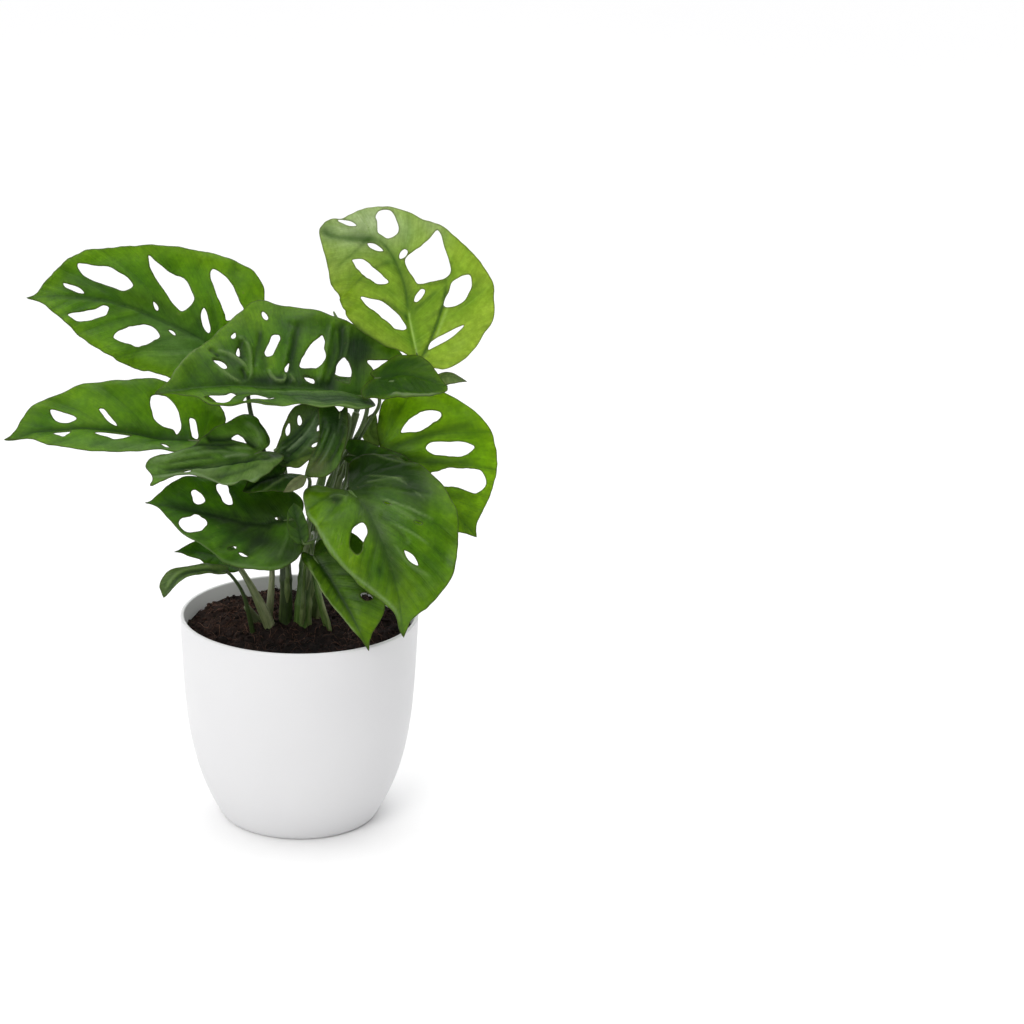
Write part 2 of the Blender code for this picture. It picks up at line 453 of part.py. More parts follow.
def lathe(profile, segments):
    """closed ring profile (r, z) turned about Z; points with r = 0 become poles"""
    verts, rows = [], []
    for r, z in profile:
        if r < 1e-6:
            rows.append([len(verts)])
            verts.append((0, 0, z))
        else:
            rows.append(list(range(len(verts), len(verts) + segments)))
            verts.extend((r * cos(2 * pi * j / segments), r * sin(2 * pi * j / segments), z) for j in range(segments))
    faces = []
    for a, b in zip(rows[:-1], rows[1:]):
        for j in range(segments):
            k = (j + 1) % segments
            if len(a) == 1:
                faces.append((a[0], b[k], b[j]))
            elif len(b) == 1:
                faces.append((a[j], a[k], b[0]))
            else:
                faces.append((a[j], a[k], b[k], b[j]))
    return np.array(verts, float), faces


def wall_radius(z):
    r, h = np.array([p[0] for p in POT_PROFILE]), np.array([p[1] for p in POT_PROFILE])
    return float(np.interp(z, h, r)) - POT_WALL


def make_pot():
    outer = list(POT_PROFILE[:-1]) + [(70.0, POT_RIM_Z - .6), (69.5, POT_RIM_Z)]
    inner = [(68.2, POT_RIM_Z), (67.7, POT_RIM_Z - .6)]
    for r, z in POT_PROFILE[::-1][1:]:
        if z > POT_FLOOR + 4:
            inner.append((r - POT_WALL, z))
    inner.append((44.5, POT_FLOOR))
    profile = [(0, 0)] + outer + inner + [(0, POT_FLOOR)]
    verts, faces = lathe(profile, POT_SEGMENTS)
    return verts, faces


def soil_height(x, y):
    z = SOIL_Z
    for cx, cy, h, r in SOIL_MOUNDS:
        z += h * np.exp(-((x - cx) ** 2 + (y - cy) ** 2) / (r * r))
    return z + .6 * np.sin(x * .21 + 1.3) * np.cos(y * .17) + .4 * np.sin(x * .11 - y * .23)


def make_soil():
    n = SOIL_SEGMENTS
    verts, rows = [], []
    zs = [SOIL_BOTTOM_Z, 14.5, 23, 34, 47, 61, 78, 100]
    rows.append([0])
    verts.append((0, 0, SOIL_BOTTOM_Z))
    for z in zs:
        r = (wall_radius(z) - SOIL_GAP) * cos(pi / POT_SEGMENTS) - .05
        rows.append(list(range(len(verts), len(verts) + n)))
        verts.extend((r * cos(2 * pi * j / n), r * sin(2 * pi * j / n), z) for j in range(n))
    edge = (wall_radius(113) - SOIL_GAP) * cos(pi / POT_SEGMENTS) - .05
    for frac in (1.0, .84, .68, .52, .36, .18):
        r = edge * frac
        rows.append(list(range(len(verts), len(verts) + n)))
        for j in range(n):
            x, y = r * cos(2 * pi * j / n), r * sin(2 * pi * j / n)
            verts.append((x, y, soil_height(x, y) - (1.2 if frac == 1.0 else 0)))
    rows.append([len(verts)])
    verts.append((0, 0, soil_height(0, 0)))
    faces = []
    for a, b in zip(rows[:-1], rows[1:]):
        for j in range(n):
            k = (j + 1) % n
            if len(a) == 1:
                faces.append((a[0], b[k], b[j]))
            elif len(b) == 1:
                faces.append((a[j], a[k], b[0]))
            else:
                faces.append((a[j], a[k], b[k], b[j]))
    return np.array(verts, float), faces


def stem_at(name, z):
    pts, radii = STEMS[name]
    line = smooth_line(pts, 12)
    f = np.interp(z, line[:, 2], np.linspace(0, 1, len(line)))
    c = np.array([np.interp(z, line[:, 2], line[:, 0]), np.interp(z, line[:, 2], line[:, 1]), z])
    return c, radii[0] * (1 - f) + radii[1] * f


def petiole_path(name):
    leaf, stem, z, angle, via = PETIOLES[name]
    r0, r1 = PETIOLE_RADII.get(name, PETIOLE_DEFAULT)
    blade = Blade(LEAVES[leaf])
    joint = blade.mid[0] - blade.nrm[0] * JOINT_DROP - blade.tan[0] * .6
    start = []
    if stem:
        d = np.array([cos(radians(angle)), sin(radians(angle)), 0])
        for h in (z, z + 10):
            c, r = stem_at(stem, h)
            start.append(tuple(c + d * (r + r0 + .5 + (.8 if h > z else 0))))
    return start + list(via) + [tuple(joint)], (r0, r1)


# ---------------------------------------------------------------- objects
def material(name, colour, rough, metallic=0.0):
    m = bpy.data.materials.new(name)
    m.use_nodes = True
    b = m.node_tree.nodes['Principled BSDF']
    b.inputs['Base Color'].default_value = (*colour, 1)
    b.inputs['Roughness'].default_value = rough
    b.inputs['Metallic'].default_value = metallic
    m.diffuse_color = (*colour, 1)
    return m


def add(name, verts, faces, colour, rough, smooth=True):
    mesh = bpy.data.meshes.new(name)
    mesh.from_pydata([tuple(float(c) * MM for c in v) for v in verts], [], [tuple(int(i) for i in f) for f in faces])
    mesh.update()
    obj = bpy.data.objects.new(name, mesh)
    bpy.context.scene.collection.objects.link(obj)
    mesh.materials.append(material(name, colour, rough))
    for p in mesh.polygons:
        p.use_smooth = smooth
    return obj


for old in list(bpy.data.objects):
    bpy.data.objects.remove(old, do_unlink=True)

GREEN = (.09, .22, .03)
DEEP_GREEN = (.045, .12, .025)
BRIGHT_GREEN = (.2, .36, .04)
STALK = (.22, .3, .1)

BLADE_COLOUR = {'leaf_top_right': BRIGHT_GREEN, 'leaf_right': BRIGHT_GREEN, 'leaf_upper_left': GREEN,
                'leaf_left': GREEN, 'leaf_front_right': GREEN}

verts, faces = make_pot()
add('pot', verts, faces, (.82, .82, .84), .45)
verts, faces = make_soil()
add('soil', verts, faces, (.045, .028, .024), .95)

for name, spec in LEAVES.items():
    length = Blade(spec).length
    step = 8.5 if length > 85 else 7.0 if length > 55 else 5.5 if length > 35 else 4.5
    verts, faces = leaf_solid(spec, step, BLADE)
    add(name, verts, faces, BLADE_COLOUR.get(name, DEEP_GREEN), .38)

for name, (points, radii) in STEMS.items():
    verts, faces = tube(points, radii, 10, 9)
    add(name, verts, faces, STALK, .5)
for name in PETIOLES:
    points, radii = petiole_path(name)
    line = smooth_line(points, 8)
    reach = np.linalg.norm(np.diff(line, axis=0), axis=1).sum()
    verts, faces = tube(points, radii, PETIOLE_SIDES, max(6, int(reach / 11) + 2))
    add(name, verts, faces, STALK, .5)
verts, faces = tube(NEW_LEAF, NEW_LEAF_RADII, 8, 10)
add('leaf_new_roll', verts, faces, (.3, .38, .2), .5)
verts, faces = tube(STUB, [1.8, 1.2], 8, 4)
add('stub_old_petiole', verts, faces, (.3, .27, .15), .7)
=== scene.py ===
"""Looks of the potted Monstera adansonii: fine leaves with veins and rims,
sheathed petioles, peat with bark and fibres, and a smooth matt pot, around the
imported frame.  Lengths are written in millimetres and scaled when meshes are
made.  +Z is up and the plant's front faces -Y.
"""
import bpy
import numpy as np
from math import cos, sin, pi, radians
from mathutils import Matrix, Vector
from mathutils.geometry import delaunay_2d_cdt
from mathutils.kdtree import KDTree


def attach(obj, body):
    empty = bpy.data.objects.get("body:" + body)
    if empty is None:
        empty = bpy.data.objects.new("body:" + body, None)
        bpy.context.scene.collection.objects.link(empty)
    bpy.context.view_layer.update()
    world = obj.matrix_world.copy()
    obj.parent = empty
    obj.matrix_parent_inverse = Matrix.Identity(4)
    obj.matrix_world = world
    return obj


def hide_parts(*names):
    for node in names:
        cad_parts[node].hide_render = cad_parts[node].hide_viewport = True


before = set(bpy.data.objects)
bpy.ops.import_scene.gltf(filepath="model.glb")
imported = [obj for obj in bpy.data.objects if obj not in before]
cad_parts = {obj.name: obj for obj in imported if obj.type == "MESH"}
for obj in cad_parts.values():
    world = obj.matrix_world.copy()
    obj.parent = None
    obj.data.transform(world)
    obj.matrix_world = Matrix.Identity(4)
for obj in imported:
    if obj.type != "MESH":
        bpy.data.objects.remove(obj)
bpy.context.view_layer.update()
MM = 0.001

# ---------------------------------------------------------------- studio light
WORLD_BASE, WORLD_TOP, WORLD_LEFT, WORLD_BACK = .25, 1.2, .19, .5
KEY_POWER, TOP_POWER = 23.0, 4.0

# ---------------------------------------------------------------- pot
POT_RIM_Z = 125.0
POT_WALL = 2.3
POT_FLOOR = 3.0
POT_PROFILE = [(44.0, 0.0), (46.4, 0.8), (48.2, 3.0), (50.6, 7.5), (54.0, 14.5),
               (57.6, 23.0), (61.2, 34.0), (64.2, 47.0), (66.4, 61.0),
               (68.0, 78.0), (69.2, 100.0), (70.0, 125.0)]
POT_SEGMENTS = 48

# ---------------------------------------------------------------- soil
SOIL_Z = 115.5
SOIL_GAP = 0.3
SOIL_BOTTOM_Z = 8.0
SOIL_SEGMENTS = 32
# mounds: centre x, y, height, radius
SOIL_MOUNDS = [(-38.0, 22.0, 4.5, 16.0), (-14.0, 46.0, 4.0, 11.0), (-4.0, 2.0, 2.5, 26.0),
               (30.0, -18.0, 1.2, 18.0), (-42.0, -22.0, -1.5, 15.0), (34.0, 30.0, 1.5, 20.0)]

# ---------------------------------------------------------------- plant
BLADE = 0.8          # thickness of a solid blade
JOINT_DROP = 1.7     # petiole ends this far under the blade's middle surface
PETIOLE_SIDES = 6

# rib: midrib points from joint to tip; nb, nm, nt: upward normals at base,
# middle and tip; fold: degrees (left base, left tip, right base, right tip);
# curl: degrees per 10 mm (left, right); l, r: (station, half width) pairs;
# h: windows (side, inner end, outer end, width, inner and outer sharpness, bow)
LEAVES = {
    'leaf_upper_left': dict(
        rib=[(-43, 28, 275), (-68, 26, 290), (-93, 22, 303), (-127, 12, 312), (-154, 0, 314)],
        nb=(0, -.8, .6), nt=(-.1, -.8, .6), fold=(8, 5, 8, 5), curl=(-3, -3),
        l=[(-10, 8), (-12, 20), (2, 28), (25, 31), (48, 36), (67, 36), (84, 31), (100, 22), (111, 12), (117, 4)],
        r=[(-8, 10), (-22, 28), (-22, 40), (-10, 50), (8, 53), (31, 50), (51, 42), (72, 34), (92, 27), (103, 17), (113, 7), (118, 2)],
        h=[('r', (63, 9), (94, 19), 12, .6, .7, 0), ('r', (88, 2), (101, 8), 4, .7, .7, 0),
           ('r', (30, 11), (59, 34), 15, .5, .7, 1), ('r', (2, 18), (26, 43), 13, .6, .6, 1),
           ('r', (14, 5), (24, 18), 4, .7, .7, 0), ('r', (44, 3), (50, 7), 2, .6, .6, 0),
           ('l', (74, 5), (101, 16), 7, .6, .8, 0), ('l', (38, 8), (71, 23), 14, .7, .8, 1),
           ('l', (28, 4), (36, 6), 2, .6, .6, 0)]),
    'leaf_left': dict(
        rib=[(-56, 6, 228), (-82, 4, 231), (-109, 0, 236), (-139, -6, 238), (-168, -14, 235)],
        nb=(0, -.5, .87), nt=(0, -.5, .87), fold=(20, 14, 20, 14), curl=(-4, -4),
        l=[(-6, 6), (-4, 13), (12, 15), (32, 17), (50, 20), (66, 21), (81, 19), (93, 14), (102, 5), (109, 1)],
        r=[(-7, 6), (-13, 14), (-10, 24), (-2, 31), (9, 35), (20, 37), (32, 40), (52, 35), (70, 31), (84, 23), (95, 18), (103, 10), (108, 4)],
        h=[('r', (75, 5), (88, 14), 6, .6, .7, 0), ('r', (48, 5), (61, 13), 4, .6, .6, 0),
           ('r', (15, 4), (28, 28), 16, .6, .5, -1), ('r', (4, 3), (9, 17), 5, .6, .6, 0),
           ('l', (76, 3), (89, 8), 4, .6, .6, 0), ('l', (42, 6), (64, 9), 4, .7, .7, 0),
           ('l', (17, 8), (26, 10), 2, .6, .6, 0)]),
    'leaf_centre': dict(
        rib=[(39, 2, 255), (6, -4, 262), (-25, -8, 264), (-53, -14, 265), (-81, -22, 265)],
        nb=(0, -.35, .93), nt=(0, -.5, .87), fold=(20, 16, 38, 20), curl=(0, -3),
        l=[(-6, 8), (-8, 18), (4, 25), (20, 29), (47, 31), (62, 31), (74, 31), (88, 25), (97, 16), (108, 7), (116, 2)],
        r=[(-8, 8), (-18, 20), (-17, 31), (-8, 35), (4, 41), (16, 46), (26, 50), (36, 53), (50, 54), (60, 56), (70, 50), (80, 40), (92, 29), (104, 18), (114, 7)],
        h=[('r', (58, 42), (60, 47), 3, .6, .6, 0), ('r', (57, 18), (53, 33), 6, .5, .5, 0),
           ('r', (36, 9), (26, 36), 13, .5, .9, 1), ('r', (14, 5), (16, 23), 9, .6, .6, 0),
           ('r', (32, 3), (39, 7), 3, .6, .6, 0), ('r', (47, 7), (46, 15), 3, .6, .8, 0),
           ('r', (78, 3), (74, 33), 22, .6, .6, 0),
           ('l', (96, 12), (78, 15), 6, .7, .7, 0), ('l', (73, 14), (72, 22), 4, .6, .6, 0),
           ('l', (68, 17), (52, 17), 6, .8, .6, 0)]),
    'leaf_top_right': dict(
        rib=[(69, 20, 271), (64, 24, 294), (59, 24, 320), (46, 18, 343), (15, 6, 356)],
        nb=(0, -.9, .4), nm=(.05, -.9, .4), nt=(0, -.9, .4), fold=(6, 6, 6, 6), curl=(-2, -3),
        l=[(2, 3), (8, 10), (13, 18), (20, 25), (27, 32), (36, 37), (46, 38), (60, 38), (75, 38), (90, 38), (102, 37), (108, 28), (112, 17), (115, 7)],
        r=[(-4, 4), (-7, 14), (-5, 22), (-2, 30), (10, 41), (17, 46), (28, 51), (39, 51), (50, 43), (62, 35), (71, 25), (82, 18), (94, 11), (104, 5)],
        h=[('r', (73, 4), (86, 15), 13, .5, .6, 0), ('r', (94, 1), (107, 3), 3, .7, .7, 0),
           ('r', (60, 3), (63, 9), 4, .6, .6, 0), ('r', (49, 5), (56, 32), 18, .5, .6, 0),
           ('r', (34, 3), (42, 12), 4, .7, .8, 0), ('r', (28, 20), (41, 40), 11, .6, .6, 0),
           ('r', (6, 6), (17, 30), 5, .6, .9, 0),
           ('l', (72, 3), (85, 7), 4, .7, .7, 0), ('l', (50, 11), (95, 20), 9, .7, .7, 1),
           ('l', (18, 4), (51, 28), 9, .6, .8, 0)]),
    'leaf_right_small': dict(
        rib=[(43, 3, 266), (63, -4, 270), (84, -12, 265)],
        nb=(0, -.45, .9), nt=(.2, -.45, .9), fold=(12, 8, 12, 8), curl=(-4, -4),
        l=[(-3, 4), (3, 9), (14, 12), (24, 11), (34, 5), (41, 2)],
        r=[(-3, 4), (4, 10), (14, 15), (24, 19), (33, 16), (40, 7)], h=[]),
    'leaf_right_tiny': dict(
        rib=[(77, 26, 259), (87, 22, 263), (97, 16, 261)],
        nb=(0, -.8, .5), nt=(0, -.8, .5), fold=(4, 4, 4, 4), curl=(0, 0),
        l=[(3, 2), (10, 2), (18, 1)], r=[(3, 3), (9, 6), (16, 5), (20, 2)], h=[]),
    'leaf_right': dict(
        rib=[(47, 10, 223), (63, 5, 215), (82, 1, 196), (103, -5, 173)],
        nb=(.1, -.93, .35), nt=(.1, -.93, .35), fold=(6, 4, 6, 4), curl=(-2, -2),
        l=[(-7, 5), (-11, 15), (-10, 25), (-4, 34), (6, 43), (17, 47), (30, 49), (44, 45), (57, 34), (68, 14), (72, 5)],
        r=[(-5, 5), (-6, 12), (4, 20), (20, 27), (36, 29), (50, 24), (62, 13), (70, 5)],
        h=[('l', (6, 12), (17, 37), 8, .7, .6, -1), ('l', (19, 12), (39, 35), 8, .6, .7, 0),
           ('l', (32, 3), (58, 27), 13, .7, .5, 0), ('r', (16, 6), (30, 20), 6, .6, .6, 0),
           ('r', (36, 5), (48, 17), 5, .6, .7, 0)]),
    'leaf_right_pale': dict(
        rib=[(48, 16, 222), (42, 19, 230), (44, 23, 241)],
        nb=(-.3, -.8, .5), nt=(-.3, -.8, .5), fold=(4, 4, 4, 4), curl=(0, 0),
        l=[(3, 3), (9, 6), (15, 5), (19, 3)], r=[(3, 2), (10, 4), (18, 3)], h=[]),
    'leaf_front_right': dict(
        rib=[(28, -30, 209), (37, -42, 204), (46, -54, 187), (54, -60, 163), (59, -60, 131)],
        nb=(0, -.55, .83), nt=(.05, -.95, .2), fold=(8, 6, 8, 6), curl=(-4, -4),
        l=[(-9, 6), (-18, 14), (-14, 25), (-5, 37), (8, 41), (24, 46), (40, 46), (53, 41), (64, 34), (72, 27), (80, 16), (86, 7), (92, 3)],
        r=[(-6, 6), (-14, 14), (-12, 22), (-8, 26), (4, 31), (22, 32), (36, 30), (52, 23), (64, 17), (73, 9), (81, 4), (91, 2)],
        h=[('l', (47, 9), (59, 16), 4, .7, .8, 0), ('r', (25, 7), (43, 18), 9, .6, .6, 0),
           ('r', (2, 6), (6, 18), 6, .6, .6, 0), ('r', (52, 6), (59, 9), 3, .6, .6, 0),
           ('l', (34, 20), (39, 25), 2, .6, .6, 0)]),
    'leaf_right_hidden': dict(
        rib=[(29, 2, 221), (50, -1, 216), (75, -5, 208)],
        nb=(0, -.95, .3), nt=(0, -.95, .3), fold=(5, 5, 5, 5), curl=(-3, -3),
        l=[(-4, 4), (-3, 8), (4, 10), (16, 9), (30, 8), (42, 4)],
        r=[(-3, 3), (4, 6), (20, 8), (36, 6), (44, 3)], h=[]),
    'leaf_lower_left': dict(
        rib=[(-2, -30, 192), (-28, -38, 193), (-53, -46, 201), (-72, -52, 207), (-86, -56, 209)],
        nb=(0, -.6, .8), nt=(-.1, -.6, .8), fold=(10, 6, 10, 6), curl=(-5, -4),
        l=[(-2, 4), (-3, 12), (0, 21), (8, 30), (18, 34), (30, 34), (42, 32), (56, 26), (66, 20), (77, 11), (83, 4)],
        r=[(-5, 5), (-6, 14), (4, 22), (18, 27), (34, 28), (50, 25), (62, 22), (70, 19), (80, 9), (87, 2)],
        h=[('r', (57, 5), (64, 14), 7, .5, .5, 0), ('r', (37, 7), (45, 23), 8, .6, .6, 0),
           ('l', (52, 5), (72, 12), 11, .6, .6, 0), ('l', (36, 20), (42, 25), 3, .7, .7, 0),
           ('l', (28, 23), (33, 26), 3, .7, .7, 0), ('r', (8, 3), (13, 5), 2, .6, .6, 0),
           ('l', (18, 5), (28, 17), 4, .7, .7, 0)]),
    'leaf_lower_left_back': dict(
        rib=[(-38, -8, 160), (-48, -12, 164), (-60, -16, 168), (-72, -20, 169)],
        nb=(0, -.6, .8), nt=(0, -.6, .8), fold=(8, 6, 8, 6), curl=(-3, -3),
        l=[(-3, 4), (-1, 9), (8, 11), (18, 9), (26, 5), (32, 2)],
        r=[(-3, 4), (0, 9), (8, 12), (18, 10), (27, 5), (33, 2)], h=[]),
    'leaf_curled': dict(
        rib=[(-21, -20, 229), (-38, -30, 227), (-58, -40, 226), (-82, -52, 224)],
        nb=(0, -.4, .9), nt=(0, -.6, .8), fold=(16, 8, 30, 16), curl=(-6, -6),
        l=[(-6, 5), (-6, 14), (3, 19), (14, 23), (24, 21), (36, 18), (48, 9), (58, 4), (66, 3)],
        r=[(-7, 4), (-8, 12), (-5, 23), (3, 26), (12, 24), (23, 22), (32, 17), (45, 11), (58, 12), (66, 11), (70, 7)],
        h=[('r', (4, 8), (13, 17), 4, .7, .7, 0), ('l', (46, 2), (53, 4), 3, .7, .7, 0)]),
    'leaf_centre_back': dict(
        rib=[(-14, -14, 228), (-5, -18, 237), (4, -20, 246), (12, -20, 254)],
        nb=(0, -.8, .6), nt=(0, -.8, .6), fold=(8, 6, 8, 6), curl=(-3, -3),
        l=[(2, 2), (8, 8), (17, 11), (27, 10), (34, 5)],
        r=[(-3, 4), (2, 9), (11, 13), (21, 12), (30, 8), (35, 3)],
        h=[('l', (13, 3), (19, 7), 3, .6, .6, 0), ('l', (21, 3), (26, 6), 3, .6, .6, 0)]),
    'leaf_hanging': dict(
        rib=[(23, -20, 252), (21, -26, 242), (15, -32, 231), (3, -34, 219)],
        nb=(.2, -.8, .6), nt=(-.2, -.9, .3), fold=(14, 10, 14, 10), curl=(-5, -5),
        l=[(-3, 4), (2, 5), (12, 5), (24, 4), (34, 3), (41, 1)],
        r=[(-3, 4), (0, 10), (10, 11), (22, 10), (32, 7), (40, 3)], h=[]),
    'leaf_under_curled': dict(
        rib=[(-9, -24, 217), (-21, -30, 215), (-32, -36, 210)],
        nb=(0, -.5, .87), nt=(-.1, -.6, .8), fold=(12, 8, 12, 8), curl=(-3, -3),
        l=[(-8, 5), (-8, 12), (0, 16), (10, 13), (19, 8), (25, 3)],
        r=[(-4, 4), (-2, 8), (8, 9), (17, 6), (24, 2)], h=[]),
    'leaf_old_flap': dict(
        rib=[(4, -34, 219), (-2, -39, 216), (-9, -43, 212)],
        nb=(.1, -.7, .7), nt=(0, -.7, .7), fold=(4, 4, 4, 4), curl=(0, 0),
        l=[(2, 2), (7, 4), (13, 3)], r=[(2, 2), (8, 3), (13, 2)], h=[]),
    'leaf_small_upright': dict(
        rib=[(2, -50, 184), (-1, -50, 196), (-3, -47, 207)],
        nb=(0, -.8, .6), nt=(0, -.8, .6), fold=(6, 6, 6, 6), curl=(-2, -2),
        l=[(1, 3), (6, 6), (13, 6), (20, 4)], r=[(1, 3), (6, 5), (14, 5), (21, 3)],
        h=[('l', (10, 1), (16, 4), 3, .5, .5, 0)]),
    'leaf_behind_centre': dict(
        rib=[(39, 22, 264), (21, 16, 262), (0, 12, 265)],
        nb=(0, -.5, .85), nt=(0, -.5, .85), fold=(6, 6, 6, 6), curl=(-2, -2),
        l=[(-2, 4), (6, 10), (18, 12), (30, 9), (38, 3)], r=[(-2, 4), (6, 8), (18, 9), (30, 6), (38, 2)], h=[]),
    'leaf_bottom_left': dict(
        rib=[(-41, -28, 160), (-54, -36, 163), (-67, -44, 163), (-77, -50, 152)],
        nb=(0, -.6, .8), nt=(-.3, -.8, .5), fold=(10, 8, 10, 8), curl=(0, 0),
        l=[(2, 2), (10, 4), (20, 6), (30, 5), (38, 3), (44, 1)],
        r=[(2, 2), (12, 4), (22, 4), (31, 5), (39, 6), (45, 2)], h=[]),
    'leaf_bottom_right': dict(
        rib=[(8, -40, 173), (19, -52, 161), (30, -64, 145), (39, -70, 127)],
        nb=(0, -.7, .7), nt=(0, -.9, .35), fold=(8, 6, 8, 6), curl=(-4, -4),
        l=[(-5, 5), (-6, 12), (4, 19), (18, 23), (34, 22), (46, 19), (53, 10), (58, 4)],
        r=[(-5, 4), (-2, 7), (8, 7), (22, 8), (33, 7), (43, 5), (54, 2)],
        h=[('l', (34, 4), (42, 10), 6, .5, .5, 0), ('r', (20, 2), (25, 4), 2, .5, .5, 0)]),
}

# stems: axis points and radii from the soil up
STEMS = {
    'stem_left': ([(-8, 2, 121), (-8, 0, 145), (-9, -2, 172), (-11, -4, 200), (-14, -7, 219)], (4.0, 2.2)),
    'stem_middle': ([(2, -4, 121), (3, -5, 140), (5, -5, 165), (9, -4, 190), (14, -2, 212)], (5.0, 2.2)),
    'stem_right': ([(9, 11, 121), (12, 13, 145), (19, 16, 185), (27, 19, 220), (33, 22, 240)], (3.2, 2.2)),
}

# petioles: leaf, stem it clasps, height and compass angle of the clasp
# (0 = +X, 90 = +Y), points passed on the way to the leaf
PETIOLES = {
    'petiole_upper_left': ('leaf_upper_left', 'stem_left', 196, 120, [(-21, 9, 222), (-28, 20, 240), (-31, 27, 254), (-38, 33, 267)]),
    'petiole_left': ('leaf_left', None, None, None, [(-18, 2, 121), (-16, 3, 150), (-18, 4, 172), (-29, 6, 199), (-44, 8, 219)]),
    'petiole_centre': ('leaf_centre', 'stem_middle', 196, 20, [(27, 7, 220), (36, 7, 236), (39, 5, 247)]),
    'petiole_top_right': ('leaf_top_right', 'stem_right', 190, 20, [(40, 23, 217), (55, 26, 236), (66, 25, 256)]),
    'petiole_right_small': ('leaf_right_small', 'stem_right', 205, -60, [(40, 9, 238), (46, 2, 252)]),
    'petiole_right_tiny': ('leaf_right_tiny', 'stem_right', 168, 40, [(37, 30, 208), (56, 33, 232), (71, 30, 250)]),
    'petiole_right': ('leaf_right', 'stem_middle', 168, 10, [(22, 5, 194), (37, 10, 212)]),
    'petiole_right_pale': ('leaf_right_pale', 'stem_right', 178, -30, [(35, 15, 205), (45, 18, 214)]),
    'petiole_front_right': ('leaf_front_right', None, None, None, [(16, -9, 121), (12, -12, 137), (9, -15, 155), (11, -18, 175), (20, -26, 199)]),
    'petiole_bottom_right': ('leaf_bottom_right', 'stem_middle', 134, -95, [(3, -20, 158), (5, -34, 171)]),
    'petiole_lower_left': ('leaf_lower_left', 'stem_left', 148, -75, [(-4, -13, 174), (-1, -18, 185)]),
    'petiole_curled': ('leaf_curled', 'stem_left', 196, -130, [(-18, -14, 218)]),
    'petiole_centre_back': ('leaf_centre_back', 'stem_left', 200, -20, [(-9, -9, 219)]),
    'petiole_hanging': ('leaf_hanging', 'stem_middle', 186, -30, [(19, -7, 206), (23, -9, 222), (28, -12, 238), (28, -15, 249)]),
    'petiole_under_curled': ('leaf_under_curled', 'stem_left', 172, -70, [(-8, -10, 198), (-8, -13, 209)]),
    'petiole_old_flap': ('leaf_old_flap', 'stem_middle', 178, -110, [(5, -15, 200), (6, -20, 211)]),
    'petiole_small_upright': ('leaf_small_upright', 'stem_middle', 158, -70, [(8, -22, 181), (9, -38, 184), (7, -47, 184)]),
    'petiole_behind_centre': ('leaf_behind_centre', 'stem_right', 200, 130, [(32, 26, 236), (40, 27, 254)]),
    'petiole_right_hidden': ('leaf_right_hidden', 'stem_middle', 150, -10, [(19, -2, 182), (27, 0, 206)]),
    'petiole_lower_left_back': ('leaf_lower_left_back', None, None, None, [(-18, -8, 121), (-25, -9, 138), (-33, -9, 153)]),
    'petiole_bottom_left': ('leaf_bottom_left', None, None, None, [(-28, -12, 121), (-32, -17, 141), (-36, -22, 151)]),
}
PETIOLE_RADII = {  # base, top
    'petiole_lower_left_back': (3.0, 1.4), 'petiole_left': (1.8, 1.1), 'petiole_bottom_left': (1.2, .9),
    'petiole_front_right': (1.8, 1.2), 'petiole_centre': (1.7, 1.2), 'petiole_upper_left': (1.6, 1.2),
    'petiole_top_right': (1.6, 1.2)}
PETIOLE_DEFAULT = (1.4, 1.0)

NEW_LEAF = [(33, 23, 241), (34, 31, 255), (30, 37, 271), (25, 38, 285), (20, 38, 297)]
NEW_LEAF_RADII = [1.3, 1.5, 2.2, 2.6, .5]
STUB = [(-25, -3, 121), (-29, -4, 128), (-33, -5, 133)]


# ---------------------------------------------------------------- geometry
def smooth_line(points, n, closed=False):
    """centripetal curve through the points"""
    p = np.asarray(points, float)
    m = len(p)
    if closed:
        q = np.vstack([p[-1], p, p[0], p[1]])
        count = m
    else:
        q = np.vstack([2 * p[0] - p[1], p, 2 * p[-1] - p[-2]])
        count = m - 1
    out = []
    for i in range(count):
        a, b, c, d = q[i:i + 4]
        t1 = max(np.linalg.norm(b - a), 1e-6) ** .5
        t2 = t1 + max(np.linalg.norm(c - b), 1e-6) ** .5
        t3 = t2 + max(np.linalg.norm(d - c), 1e-6) ** .5
        t = np.linspace(t1, t2, n, endpoint=False)[:, None]
        ab = (t1 - t) / t1 * a + t / t1 * b
        bc = (t2 - t) / (t2 - t1) * b + (t - t1) / (t2 - t1) * c
        cd = (t3 - t) / (t3 - t2) * c + (t - t2) / (t3 - t2) * d
        left = (t2 - t) / t2 * ab + t / t2 * bc
        right = (t3 - t) / (t3 - t1) * bc + (t - t1) / (t3 - t1) * cd
        out.append((t2 - t) / (t2 - t1) * left + (t - t1) / (t2 - t1) * right)
    if not closed:
        out.append(p[-1][None])
    return np.vstack(out)


def unit(v):
    return v / np.maximum(np.linalg.norm(v, axis=-1, keepdims=True), 1e-9)


def even(points, step):
    """points at an even distance along an open line, ends kept"""
    p = np.asarray(points, float)
    run = np.concatenate([[0], np.cumsum(np.linalg.norm(np.diff(p, axis=0), axis=1))])
    n = max(2, int(round(run[-1] / step)) + 1)
    g = np.linspace(0, run[-1], n)
    return np.stack([np.interp(g, run, p[:, k]) for k in range(p.shape[1])], 1)


